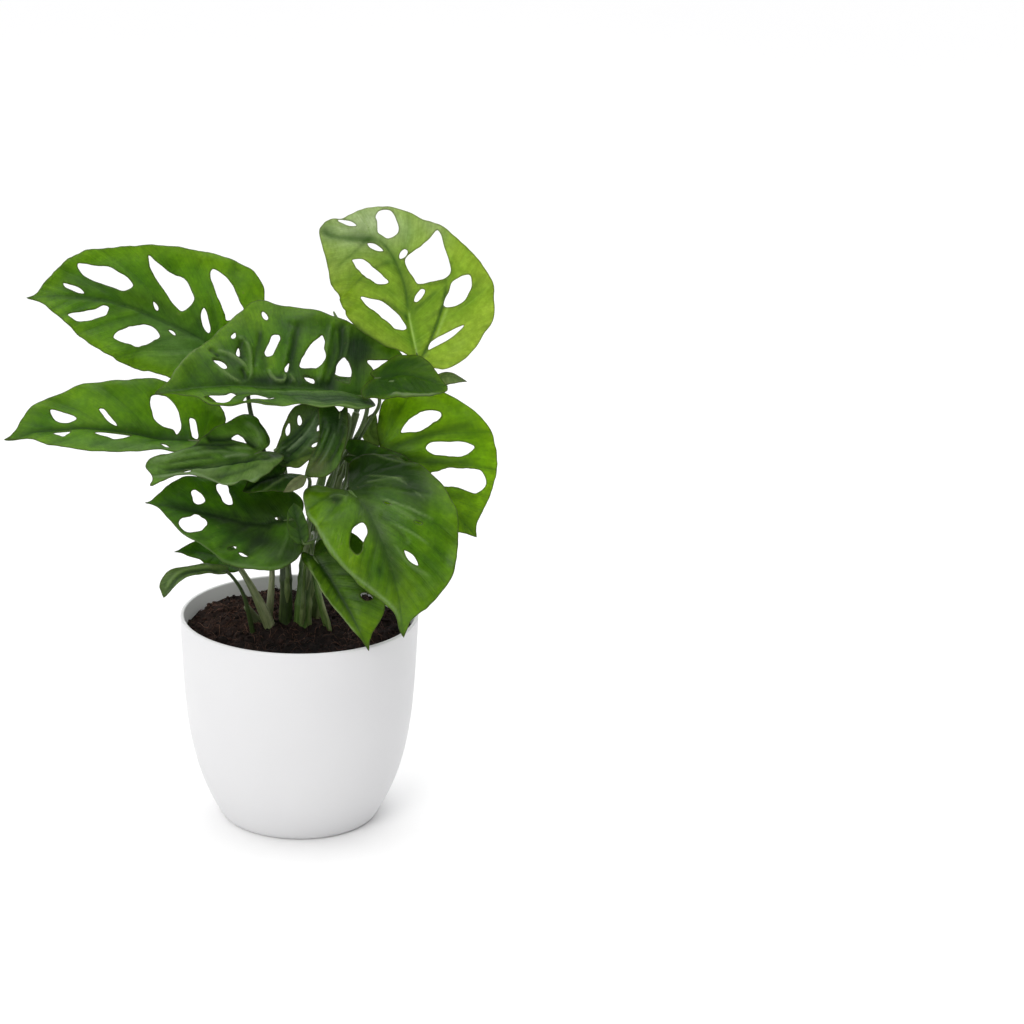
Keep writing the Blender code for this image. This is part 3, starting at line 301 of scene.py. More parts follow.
class Blade:
    """surface of one leaf: s runs along the midrib, t across it (left positive)"""

    def __init__(self, spec):
        c = smooth_line(spec['rib'], 24)
        run = np.concatenate([[0], np.cumsum(np.linalg.norm(np.diff(c, axis=0), axis=1))])
        self.length = run[-1]
        self.g = np.linspace(0, self.length, 161)
        self.mid = np.stack([np.interp(self.g, run, c[:, k]) for k in range(3)], 1)
        self.tan = unit(np.gradient(self.mid, self.g, axis=0))
        w = (self.g / self.length)[:, None]
        nb, nt = unit(np.array(spec['nb'], float)), unit(np.array(spec['nt'], float))
        if 'nm' in spec:
            nm = unit(np.array(spec['nm'], float))
            n = np.where(w < .5, nb * (1 - 2 * w) + nm * 2 * w, nm * (2 - 2 * w) + nt * (2 * w - 1))
        else:
            n = nb * (1 - w) + nt * w
        self.nrm = unit(n - (n * self.tan).sum(1)[:, None] * self.tan)
        # a strongly bent midrib: the lines across it turn more slowly than it does
        self.turn = self.tan
        if spec.get('soft'):
            k = np.exp(-((self.g[:, None] - self.g[None]) / spec['soft']) ** 2 / 2)
            self.turn = unit(k @ self.tan / k.sum(1, keepdims=True))
        self.fold = np.radians(np.array(spec['fold'], float))
        self.curl = np.radians(np.array(spec['curl'], float)) / 10

    def at(self, s, t):
        s = np.asarray(s, float)
        t = np.asarray(t, float)
        sc = np.clip(s, 0, self.length)

        def look(table):
            return np.stack([np.interp(sc, self.g, table[:, k]) for k in range(3)], -1)
        m, tan, n = look(self.mid), unit(look(self.tan)), unit(look(self.nrm))
        n = unit(n - (n * tan).sum(-1)[..., None] * tan)
        m = m + tan * (s - sc)[..., None]
        out = unit(np.cross(n, unit(look(self.turn)))) * np.where(t >= 0, 1, -1)[..., None]
        w = np.clip(s / self.length, 0, 1)
        left = self.fold[0] * (1 - w) + self.fold[1] * w
        right = self.fold[2] * (1 - w) + self.fold[3] * w
        a = np.where(t >= 0, left, right)
        k = np.where(t >= 0, self.curl[0], self.curl[1])
        k = np.where(np.abs(k) < 1e-6, 1e-6, k)
        r = np.abs(t)
        x = (np.sin(a + k * r) - np.sin(a)) / k
        z = (np.cos(a) - np.cos(a + k * r)) / k
        return m + out * x[..., None] + n * z[..., None]


def window(a, b, width, ea, eb, bow, n=12):
    """closed outline of a window between two side veins"""
    a, b = np.array(a, float), np.array(b, float)
    axis = b - a
    length = np.linalg.norm(axis)
    axis = axis / length
    side = np.array([-axis[1], axis[0]])
    x = (1 - np.cos(np.linspace(0, pi, n // 2 + 1))) / 2
    peak = ea / (ea + eb)
    f = (x ** ea * np.maximum(1 - x, 0) ** eb) / (peak ** ea * (1 - peak) ** eb)
    up = a + axis * (x * length)[:, None] + side * (width / 2 * f + bow * 4 * x * (1 - x))[:, None]
    dn = a + axis * (x * length)[:, None] + side * (-width / 2 * f + bow * 4 * x * (1 - x))[:, None]
    return np.vstack([up, dn[::-1][1:-1]])


def opening(a, b, up, dn):
    """closed outline of an uneven window: half widths at five shares of its axis"""
    a, b = np.array(a, float), np.array(b, float)
    axis = b - a
    side = np.array([-axis[1], axis[0]]) / np.linalg.norm(axis)
    shares = (.12, .3, .5, .7, .88)
    loop = [a] + [a + axis * x + side * w for x, w in zip(shares, up)] + [b]
    loop += [a + axis * x - side * w for x, w in zip(shares[::-1], dn[::-1])]
    return smooth_line(loop, 6, closed=True)


def inside(poly, pts):
    """even-odd test of points against a polygon"""
    x, y = pts[:, 0], pts[:, 1]
    hit = np.zeros(len(pts), bool)
    for i in range(len(poly)):
        (x1, y1), (x2, y2) = poly[i], poly[(i + 1) % len(poly)]
        cross = (y1 > y) != (y2 > y)
        d = (y2 - y1) if abs(y2 - y1) > 1e-12 else 1e-12
        hit ^= cross & (x < (x2 - x1) * (y - y1) / d + x1)
    return hit


def lathe(profile, segments):
    """closed ring profile (r, z) turned about Z; points with r = 0 become poles"""
    verts, rows = [], []
    for r, z in profile:
        if r < 1e-6:
            rows.append([len(verts)])
            verts.append((0, 0, z))
        else:
            rows.append(list(range(len(verts), len(verts) + segments)))
            verts.extend((r * cos(2 * pi * j / segments), r * sin(2 * pi * j / segments), z) for j in range(segments))
    faces = []
    for a, b in zip(rows[:-1], rows[1:]):
        for j in range(segments):
            k = (j + 1) % segments
            if len(a) == 1:
                faces.append((a[0], b[k], b[j]))
            elif len(b) == 1:
                faces.append((a[j], a[k], b[0]))
            else:
                faces.append((a[j], a[k], b[k], b[j]))
    return np.array(verts, float), faces


def wall_radius(z):
    r, h = np.array([p[0] for p in POT_PROFILE]), np.array([p[1] for p in POT_PROFILE])
    return float(np.interp(z, h, r)) - POT_WALL


def soil_height(x, y):
    z = SOIL_Z
    for cx, cy, h, r in SOIL_MOUNDS:
        z += h * np.exp(-((x - cx) ** 2 + (y - cy) ** 2) / (r * r))
    return z + .6 * np.sin(x * .21 + 1.3) * np.cos(y * .17) + .4 * np.sin(x * .11 - y * .23)


def stem_at(name, z):
    pts, radii = STEMS[name]
    line = smooth_line(pts, 12)
    f = np.interp(z, line[:, 2], np.linspace(0, 1, len(line)))
    c = np.array([np.interp(z, line[:, 2], line[:, 0]), np.interp(z, line[:, 2], line[:, 1]), z])
    return c, radii[0] * (1 - f) + radii[1] * f


def petiole_path(name):
    leaf, stem, z, angle, via = PETIOLES[name]
    r0, r1 = PETIOLE_RADII.get(name, PETIOLE_DEFAULT)
    blade = Blade(LEAVES[leaf])
    joint = blade.mid[0] - blade.nrm[0] * JOINT_DROP - blade.tan[0] * .6
    start = []
    if stem:
        d = np.array([cos(radians(angle)), sin(radians(angle)), 0])
        for h in (z, z + 10):
            c, r = stem_at(stem, h)
            start.append(tuple(c + d * (r + r0 + .5 + (.8 if h > z else 0))))
    return start + list(via) + [tuple(joint)], (r0, r1)



def near(points, cloud):
    """distance from each (s, t) point to the nearest point of a dense line"""
    tree = KDTree(len(cloud))
    for i, c in enumerate(cloud):
        tree.insert((c[0], c[1], 0), i)
    tree.balance()
    return np.array([tree.find((p[0], p[1], 0))[2] for p in points])


def step01(a, b, x):
    u = np.clip((x - a) / (b - a), 0, 1)
    return u * u * (3 - 2 * u)


class Waves:
    """smooth random field made of a few plane waves, about -1 to 1"""

    def __init__(self, seed, length, dims=2, count=9):
        rng = np.random.default_rng(seed)
        d = rng.normal(size=(count, dims))
        d /= np.linalg.norm(d, axis=1, keepdims=True)
        self.k = d * (2 * pi / (length * rng.uniform(.6, 1.6, (count, 1))))
        self.p = rng.uniform(0, 2 * pi, count)
        self.n = (count / 2) ** .5

    def __call__(self, *xs):
        q = np.stack([np.asarray(x, float) for x in xs], -1)
        return np.sin(q @ self.k.T + self.p).sum(-1) / self.n / 1.6


# ---------------------------------------------------------------- side veins
class SideVeins:
    """The side veins of one half of a blade.  A vein that leaves the midrib at
    station f runs to s = f + (a + c f) r + b r r at distance r from it.  The
    law is read off the slant of the windows, which lie between two veins.
    Behind the first vein the veins fan out from the joint."""
    FAN = 15.0

    def __init__(self, spec, side, length):
        self.length = length
        self.x = prior = np.array([.25, 1.3 / length, .0045 * 100 / max(length, 40)])
        wins = [(np.array(a, float), np.array(b, float)) for sd, a, b, *_ in spec['h'] if sd == side]
        for _ in range(4):
            rows, want = [np.diag([1 / .5, length / 1.0, 150.0])], [prior / np.array([.5, 1.0 / length, 1 / 150.0])]
            for a, b in wins:
                dr = b[1] - a[1]
                reach = np.hypot(*(b - a))
                if reach < 6:
                    continue
                slope = np.clip((b[0] - a[0]) / max(dr, .5), -1.0, 1.9)
                f = float(self.phi(a[0], a[1]))
                k = (reach / 12)
                rows.append(np.array([[k * 3, k * 3 * f, k * 3 * (a[1] + b[1])]]))
                want.append(np.array([k * 3 * slope]))
            self.x = np.linalg.lstsq(np.vstack(rows), np.concatenate(want), rcond=None)[0]
            self.x[1] = max(self.x[1], .25 / length)
            self.x[2] = np.clip(self.x[2], -.002, .02)
        marks = sorted(float(self.phi(*((a + b) / 2))) for a, b in wins if np.hypot(*(b - a)) > 7)
        gap = np.clip(length / 8.5, 4.5, 13)
        if len(marks) > 1:
            gap = np.clip(np.median(np.diff(marks)), 7, 15)
        veins = [(p + q) / 2 for p, q in zip(marks[:-1], marks[1:]) if q - p > 4.5]
        if marks:
            f = marks[0] - gap / 2
            low = veins[0] if veins else 1e9
            while f > 1.5:
                if f < low - 4:
                    veins.append(f)
                f -= gap
            f = marks[-1] + gap / 2
            while f < length * .9:
                veins.append(f)
                f += gap * .9
        else:
            f = gap * .7
            while f < length * .9:
                veins.append(f)
                f += gap
                gap *= .96
        veins.sort()
        for p, q in zip(list(veins[:-1]), list(veins[1:])):
            if q - p > 1.8 * gap:
                f = (p + q) / 2
                if not any(abs(f - m) < 3 for m in marks):
                    veins.append(f)
        fans = [-self.FAN * d for d in (.42, .95, 1.5)]
        low = [m for m in marks if m < 0]
        veins += [f for f in fans if not any(abs(f - m) < 3 for m in low)]
        self.veins = np.array(sorted(veins))

    def start(self, r):
        a, c, b = self.x
        return np.maximum(a * r + b * r * r, -.9 * r)

    def phi(self, s, r):
        s, r = np.asarray(s, float), np.maximum(np.asarray(r, float), 1e-6)
        a, c, b = self.x
        ahead = (s - a * r - b * r * r) / (1 + c * r)
        fan = -self.FAN * (np.arctan2(r, s) - np.arctan2(r, self.start(r)))
        return np.where(ahead >= 0, ahead, fan)

    def line(self, f, far):
        """points along the vein of station f"""
        a, c, b = self.x
        r = np.arange(0, far, .9)
        if f >= 0:
            return np.stack([f + (a + c * f) * r + b * r * r, r], 1)
        out = []
        for d in np.arange(1.0, far, .9):
            th = np.arctan2(1, a) - f / self.FAN
            for _ in range(3):
                rr = max(d * sin(th), 1e-3)
                th = np.arctan2(rr, float(self.start(rr))) - f / self.FAN
            if not 0 < th < pi * .97:
                break
            out.append((d * cos(th), d * sin(th)))
        return np.array(out) if out else np.zeros((0, 2))

    def nearest(self, s, r):
        """distance to the nearest side vein and its station"""
        e = .05
        f = self.phi(s, r)
        gs = (self.phi(s + e, r) - self.phi(s - e, r)) / (2 * e)
        gr = (self.phi(s, r + e) - self.phi(s, np.maximum(r - e, 1e-6))) / (e + np.minimum(r, e))
        slope = np.maximum(np.hypot(gs, gr), .05)
        d = np.abs(f[:, None] - self.veins[None, :])
        return d.min(1) / slope, self.veins[d.argmin(1)], f


# ---------------------------------------------------------------- fine leaves
def leaf_lines(spec, name, step):
    """outline and windows of a leaf in (s, t), with their small irregularities"""
    blade = Blade(spec)
    length = blade.length
    seed = sum(ord(c) * (i + 3) for i, c in enumerate(name))
    left = even(smooth_line([(0, 0)] + spec['l'] + [(length, 0)], 20), step)
    right = even(smooth_line([(0, 0)] + spec['r'] + [(length, 0)], 20), step) * np.array([1, -1])
    big = np.clip(length / 100, .3, 1)
    wob = Waves(seed, 13 * big + 3, 2)
    fine = Waves(seed + 1, 5 * big + 1, 2)

    def shake(loop, amount):
        tan = np.roll(loop, -1, 0) - np.roll(loop, 1, 0)
        nor = unit(np.stack([tan[:, 1], -tan[:, 0]], 1))
        push = amount * (.75 * wob(loop[:, 0], loop[:, 1]) + .3 * fine(loop[:, 0], loop[:, 1]))
        return loop + nor * push[:, None]
    ends = np.linalg.norm(left, axis=1)
    fade = step01(1, 12 * big, ends) * step01(0, 9 * big, np.linalg.norm(left - left[-1], axis=1))
    tl = shake(left, .42 * big)
    left = left + (tl - left) * fade[:, None]
    ends = np.linalg.norm(right, axis=1)
    fade = step01(1, 12 * big, ends) * step01(0, 9 * big, np.linalg.norm(right - right[-1], axis=1))
    tr = shake(right, .42 * big)
    right = right + (tr - right) * fade[:, None]
    outline = np.vstack([left, right[::-1][1:-1]])
    holes = []
    for side, a, b, *form in spec['h']:
        if len(form) == 1:
            hole = smooth_line(form[0], 6, closed=True)
            width = 12.0
        elif len(form) == 2:
            hole = opening(a, b, *form)
            width = max(p + q for p, q in zip(*form))
        else:
            width, ea, eb, bow = form
            hole = window(a, b, width, ea, eb, bow, 40)
        if side == 'r':
            hole = hole * np.array([1, -1])
        run = np.vstack([hole, hole[:1]])
        hole = even(run, step * .8)[:-1]
        hole = shake(hole, min(.3 * big, width * .05))
        holes.append(hole)
    return blade, outline, len(left) - 1, holes


def leaf_parts(name, spec, step):
    """fine triangulation of a leaf and its distance fields"""
    blade, outline, tip, holes = leaf_lines(spec, name, step)
    length = blade.length
    sides = {'l': SideVeins(spec, 'l', length), 'r': SideVeins(spec, 'r', length)}
    pts, edges = [], []

    def ring(loop):
        base = len(pts)
        pts.extend(map(tuple, loop))
        n = len(loop)
        edges.extend((base + i, base + (i + 1) % n) for i in range(n))
    ring(outline)
    midrib = even(np.array([(0, 0), (length, 0)]), step)[1:-1]
    chain = [0]
    for p in midrib:
        chain.append(len(pts))
        pts.append(tuple(p))
    chain.append(tip)
    edges.extend(zip(chain[:-1], chain[1:]))
    for hole in holes:
        ring(hole)
    rim = np.vstack([outline] + holes)
    dense_rim = np.vstack([even(np.vstack([loop, loop[:1]]), .4) for loop in [outline] + holes])
    # side veins as lines of the mesh, so that their creases are crisp
    vein_pts = []
    for sd, law in sides.items():
        flip = np.array([1, 1 if sd == 'l' else -1])
        for f in law.veins:
            line = law.line(f, 90) * flip
            if len(line) < 3:
                continue
            ok = inside(outline, line)
            for hole in holes:
                ok &= ~inside(hole, line)
            ok &= np.abs(line[:, 1]) > step * .6
            stop = np.argmin(ok[1:]) + 1 if not ok[1:].all() else len(ok)
            first = np.argmax(ok)
            line = line[first:]
            ok = ok[first:]
            if not len(ok) or not ok[0]:
                continue
            stop = len(ok) if ok.all() else int(np.argmin(ok))
            line = line[:stop]
            if len(line) < 3:
                continue
            keep = near(line, dense_rim) > step * .7
            line = line[keep]
            if len(line) < 3:
                continue
            if vein_pts:
                clear = near(line, np.vstack(vein_pts)) > step * .75
                line = line[clear]
                if len(line) < 3:
                    continue
            base = len(pts)
            pts.extend(map(tuple, line))
            gapfree = np.linalg.norm(np.diff(line, axis=0), axis=1) < 1.6
            edges.extend((base + i, base + i + 1) for i in range(len(line) - 1) if gapfree[i])
            vein_pts.append(line)
    lo, hi = outline.min(0), outline.max(0)
    rows = np.arange(lo[1], hi[1], step * .87)
    cols = np.arange(lo[0], hi[0], step)
    grid = np.vstack([np.stack([cols + (i % 2) * step / 2, np.full(len(cols), y)], 1) for i, y in enumerate(rows)])
    keep = inside(outline, grid)
    for hole in holes:
        keep &= ~inside(hole, grid)
    grid = grid[keep]
    marks = np.vstack([rim, np.array(midrib)] + vein_pts)
    grid = grid[near(grid, marks) > step * .62]
    pts.extend(map(tuple, grid))
    flat, _, tris, _, _, _ = delaunay_2d_cdt([Vector(p) for p in pts], edges, [], 0, 1e-5)
    flat = np.array([tuple(v) for v in flat])
    tris = np.array([tuple(t) for t in tris])
    centre = flat[tris].mean(1)
    keep = inside(outline, centre)
    for hole in holes:
        keep &= ~inside(hole, centre)
    tris = tris[keep]
    a, b, c = flat[tris[:, 0]], flat[tris[:, 1]], flat[tris[:, 2]]
    area = (b[:, 0] - a[:, 0]) * (c[:, 1] - a[:, 1]) - (b[:, 1] - a[:, 1]) * (c[:, 0] - a[:, 0])
    tris[area < 0] = tris[area < 0][:, ::-1]
    tris = tris[np.abs(area) > 1e-5]
    used = np.unique(tris)
    renum = np.full(len(flat), -1)
    renum[used] = np.arange(len(used))
    flat, tris = flat[used], renum[tris]
    s, t = flat[:, 0], flat[:, 1]
    r = np.abs(t)
    d_vein = np.zeros(len(flat))
    phi = np.zeros(len(flat))
    for sd, law in sides.items():
        m = (t >= 0) if sd == 'l' else (t < 0)
        if m.any():
            d, _, f = law.nearest(s[m], r[m])
            d_vein[m], phi[m] = d, f
    d_out = near(flat, even(np.vstack([outline, outline[:1]]), .4))
    d_win = near(flat, np.vstack([even(np.vstack([h, h[:1]]), .4) for h in holes])) if holes else np.full(len(flat), 99.0)
    return blade, flat, tris, dict(d_mid=r, d_vein=d_vein, phi=phi, d_out=d_out, d_win=d_win)


def drawn(flat, lines, blobs):
    """creases and painted patches of one leaf: height, line tone (pale veins and painted glints, painted shade in
    creases), painted light and shade of the patches, and painted sheen.
    lines: (points, width, height, tone); blobs: (s, t, reach along s, along t, painted light where positive and painted
    shade where negative, painted sheen)"""
    lift, vein_and_painted_light, painted_light_shade, painted_sheen = (np.zeros(len(flat)) for _ in range(4))
    for pts, width, height, tone in lines:
        path = even(smooth_line([(float(a), float(b)) for a, b in pts], 8), .4)
        tree = KDTree(len(path))
        for i, c in enumerate(path):
            tree.insert((c[0], c[1], 0), i)
        tree.balance()
        hit = [tree.find((p[0], p[1], 0))[1:] for p in flat]
        d = np.array([h[1] for h in hit])
        u = np.array([h[0] for h in hit]) / max(len(path) - 1, 1)
        ends = step01(0, .12, u) * step01(1, .88, u)
        lift += height * np.exp(-(d / width) ** 2) * ends
        vein_and_painted_light += tone * np.exp(-(d / (.8 * width)) ** 2) * (.35 + .65 * ends)
    for s0, t0, rs, rt, tone, w in blobs:
        g = np.exp(-((flat[:, 0] - s0) / rs) ** 2 - ((flat[:, 1] - t0) / rt) ** 2)
        painted_light_shade += tone * g
        painted_sheen += w * g
    return lift, np.clip(vein_and_painted_light, -1, 1), np.clip(painted_light_shade, -1, 1), np.clip(painted_sheen, 0, 1)


def leaf_mesh(name, spec, step, look):
    """verts, faces, per-vertex fields and (s, t) of a thin closed leaf"""
    blade, flat, tris, fld = leaf_parts(name, spec, step)
    s, t = flat[:, 0], flat[:, 1]
    r = fld['d_mid']
    length = blade.length
    big = np.clip(length / 100, .3, 1)
    seed = sum(ord(c) * (i + 7) for i, c in enumerate(name))
    body = step01(0, 4 * big, fld['d_out'])
    taper = step01(length, length * .6, s)
    line = np.minimum(fld['d_vein'], r)
    # tissue stands up between sunken veins
    puff = look.get('puff', 1.0) * big * (.6 * (1 - np.exp(-(line / (5.0 * big + .6)) ** 2)) * body)
    groove = -.45 * big * np.exp(-(r / (1.5 * big + .2)) ** 2) * (.4 + .6 * taper)
    groove -= .3 * big * np.exp(-(fld['d_vein'] / (1.1 * big + .2)) ** 2) * step01(0, 6 * big, fld['d_out']) * step01(.5, 4, r)
    # slow waves, stronger towards the margin
    calm = step01(0, 22 * big, np.hypot(s, t))
    rim_w = step01(16 * big, 0, fld['d_out'])
    sway = look.get('wave', 1.0) * big * calm * (1.0 * Waves(seed, 42 * big + 6)(s, t) + 1.1 * rim_w * Waves(seed + 5, 20 * big + 4)(s, t))
    turn = look.get('rim', .25) * big * np.exp(-fld['d_out'] / (1.0 * big + .2)) + .18 * big * np.exp(-fld['d_win'] / (.9 * big + .2))
    # crease heights, with painted light, shade and sheen from the drawn lines and patches
    extra, fld['vein_and_painted_light'], fld['painted_light_shade'], fld['painted_sheen'] = drawn(flat, look.get('lines', ()), look.get('blobs', ()))
    if 'shape' in look:
        extra = extra + look['shape'](s, t)
    h = puff + groove + sway + turn + extra
    p = blade.at(s, t)

    def normals(q):
        face = np.cross(q[tris[:, 1]] - q[tris[:, 0]], q[tris[:, 2]] - q[tris[:, 0]])
        n = np.zeros_like(q)
        for k in range(3):
            np.add.at(n, tris[:, k], face)
        return unit(n)
    n0 = normals(p)
    p = p + n0 * h[:, None]
    if 'bend' in look:
        p = look['bend'](p, s, t)
    n = normals(p)
    thick = .36 * (.6 + .4 * big)
    rib = look.get('keel', 1.0) * big * (1.25 * (.25 + .75 * taper) * np.exp(-(r / (1.25 * big + .15)) ** 2)
                                         + .3 * np.exp(-(fld['d_vein'] / (.75 * big + .15)) ** 2) * step01(0, 8 * big, fld['d_out']) * step01(1, 4, r))
    rib = rib * step01(0, 1.5, fld['d_out'] + .8 * (r < 1.5))
    count = len(p)
    verts = np.vstack([p + n * thick / 2, p - n * (thick / 2 + rib)[:, None]])
    faces = [tuple(f) for f in tris.tolist()] + [(count + f[2], count + f[1], count + f[0]) for f in tris.tolist()]
    a = np.vstack([tris[:, [0, 1]], tris[:, [1, 2]], tris[:, [2, 0]]])
    have = set(map(tuple, a.tolist()))
    for u, v in a.tolist():
        if (v, u) not in have:
            faces.append((v, u, count + u, count + v))
    att = {k: np.concatenate([v, v]) for k, v in fld.items()}
    att['under'] = np.concatenate([np.zeros(count), np.ones(count)])
    att['d_edge'] = np.minimum(att['d_out'], att['d_win'])
    st = np.vstack([flat, flat])
    return verts, faces, att, st


# ---------------------------------------------------------------- stalks
def stalk(points, radius, sides=14, step=1.5, section=None, cap=(True, True)):
    """closed tube; radius(u, mm) gives the radius at share u of the length,
    section(u, mm, angle) scales it around the axis"""
    line = even(smooth_line(points, 24), step)
    run = np.concatenate([[0], np.cumsum(np.linalg.norm(np.diff(line, axis=0), axis=1))])
    total = run[-1]
    tan = unit(np.gradient(line, run, axis=0))
    rings = [(line[i], tan[i], radius(run[i] / total, run[i]), run[i]) for i in range(len(line))]
    if cap[0]:
        c, d, r, g = rings[0]
        rings = [(c - d * r * k, d, r * w, g) for k, w in ((.55, .35), (.38, .72), (.16, .93))] + rings
    if cap[1]:
        c, d, r, g = rings[-1]
        rings = rings + [(c + d * r * k, d, r * w, g) for k, w in ((.16, .93), (.38, .72), (.55, .35))]
    ref = np.array([1.0, 0, 0]) if abs(rings[0][1][0]) < .8 else np.array([0, 1.0, 0])
    verts, along, around = [], [], []
    ang = np.arange(sides) * 2 * pi / sides
    for c, d, r, g in rings:
        ref = unit(ref - (ref @ d) * d)
        other = np.cross(d, ref)
        k = np.ones(sides) if section is None else np.array([section(g / total, g, a) for a in ang])
        verts.append(c + (r * k * np.cos(ang))[:, None] * ref + (r * k * np.sin(ang))[:, None] * other)
        along.append(np.full(sides, g))
        around.append(ang)
    faces = []
    n = len(rings)
    for i in range(n - 1):
        for j in range(sides):
            k = (j + 1) % sides
            faces.append((i * sides + j, i * sides + k, (i + 1) * sides + k, (i + 1) * sides + j))
    verts = np.vstack(verts)
    count = len(verts)
    ends = np.array([verts[:sides].mean(0) - rings[0][1] * .05, verts[-sides:].mean(0) + rings[-1][1] * .05])
    for j in range(sides):
        k = (j + 1) % sides
        faces.append((count, k, j))
        faces.append((count + 1, (n - 1) * sides + j, (n - 1) * sides + k))
    along = np.concatenate(along + [[0.0, total]])
    around = np.concatenate(around + [[0.0, 0.0]])
    return np.vstack([verts, ends]), faces, along, around, total


def join(parts):
    """several closed meshes in one: lists of (verts, faces, {field: values})"""
    verts, faces, fields, base = [], [], {}, 0
    for v, f, att in parts:
        verts.append(v)
        faces.extend(tuple(i + base for i in face) for face in f)
        for k, val in att.items():
            fields.setdefault(k, []).append(np.broadcast_to(np.asarray(val, float), (len(v),)))
        base += len(v)
    return np.vstack(verts), faces, {k: np.concatenate(v) for k, v in fields.items()}


# ---------------------------------------------------------------- node materials
class Mat:
    def __init__(self, name):
        self.m = bpy.data.materials.new(name)
        self.m.use_nodes = True
        self.t = self.m.node_tree
        self.t.nodes.clear()
        self.out = self.t.nodes.new('ShaderNodeOutputMaterial')

    def node(self, kind, inputs=None, **props):
        n = self.t.nodes.new('ShaderNode' + kind)
        for k, v in props.items():
            setattr(n, k, v)
        for k, v in (inputs or {}).items():
            self.put(n.inputs[k], v)
        return n

    def put(self, socket, v):
        if isinstance(v, bpy.types.NodeSocket):
            self.t.links.new(v, socket)
        else:
            if isinstance(v, tuple) and len(v) == 3 and socket.type == 'RGBA':
                v = (*v, 1)
            socket.default_value = v

    def attr(self, name):
        return self.node('Attribute', attribute_name=name).outputs['Fac']

    def place(self):
        return self.node('TexCoord').outputs['Object']

    def noise(self, vector, scale, detail=3.0, rough=.55):
        n = self.node('TexNoise', {'Vector': vector, 'Scale': scale, 'Detail': detail, 'Roughness': rough})
        return n.outputs['Fac']

    def ramp(self, x, a, b, lo=0.0, hi=1.0, smooth=True):
        n = self.node('MapRange', {'Value': x, 'From Min': a, 'From Max': b, 'To Min': lo, 'To Max': hi})
        n.interpolation_type = 'SMOOTHSTEP' if smooth else 'LINEAR'
        n.clamp = True
        return n.outputs['Result']

    def math(self, op, *xs):
        n = self.node('Math', operation=op)
        for i, x in enumerate(xs):
            self.put(n.inputs[i], x)
        return n.outputs[0]

    def mix(self, f, a, b, kind='MIX'):
        n = self.node('Mix', data_type='RGBA', blend_type=kind)
        self.put(n.inputs[0], f)
        self.put(n.inputs[6], a)
        self.put(n.inputs[7], b)
        return n.outputs[2]

    def xyz(self, x, y, z):
        return self.node('CombineXYZ', {'X': x, 'Y': y, 'Z': z}).outputs[0]

    def bump(self, height, strength, distance):
        return self.node('Bump', {'Height': height, 'Strength': strength, 'Distance': distance}).outputs[0]

    def solid(self, colour, rough, normal=None, **sockets):
        b = self.node('BsdfPrincipled', {'Base Color': colour, 'Roughness': rough})
        if normal is not None:
            self.put(b.inputs['Normal'], normal)
        for k, v in sockets.items():
            self.put(b.inputs[k.replace('_', ' ')], v)
        return b.outputs[0]

    def finish(self, shader):
        self.t.links.new(shader, self.out.inputs['Surface'])
        return self.m


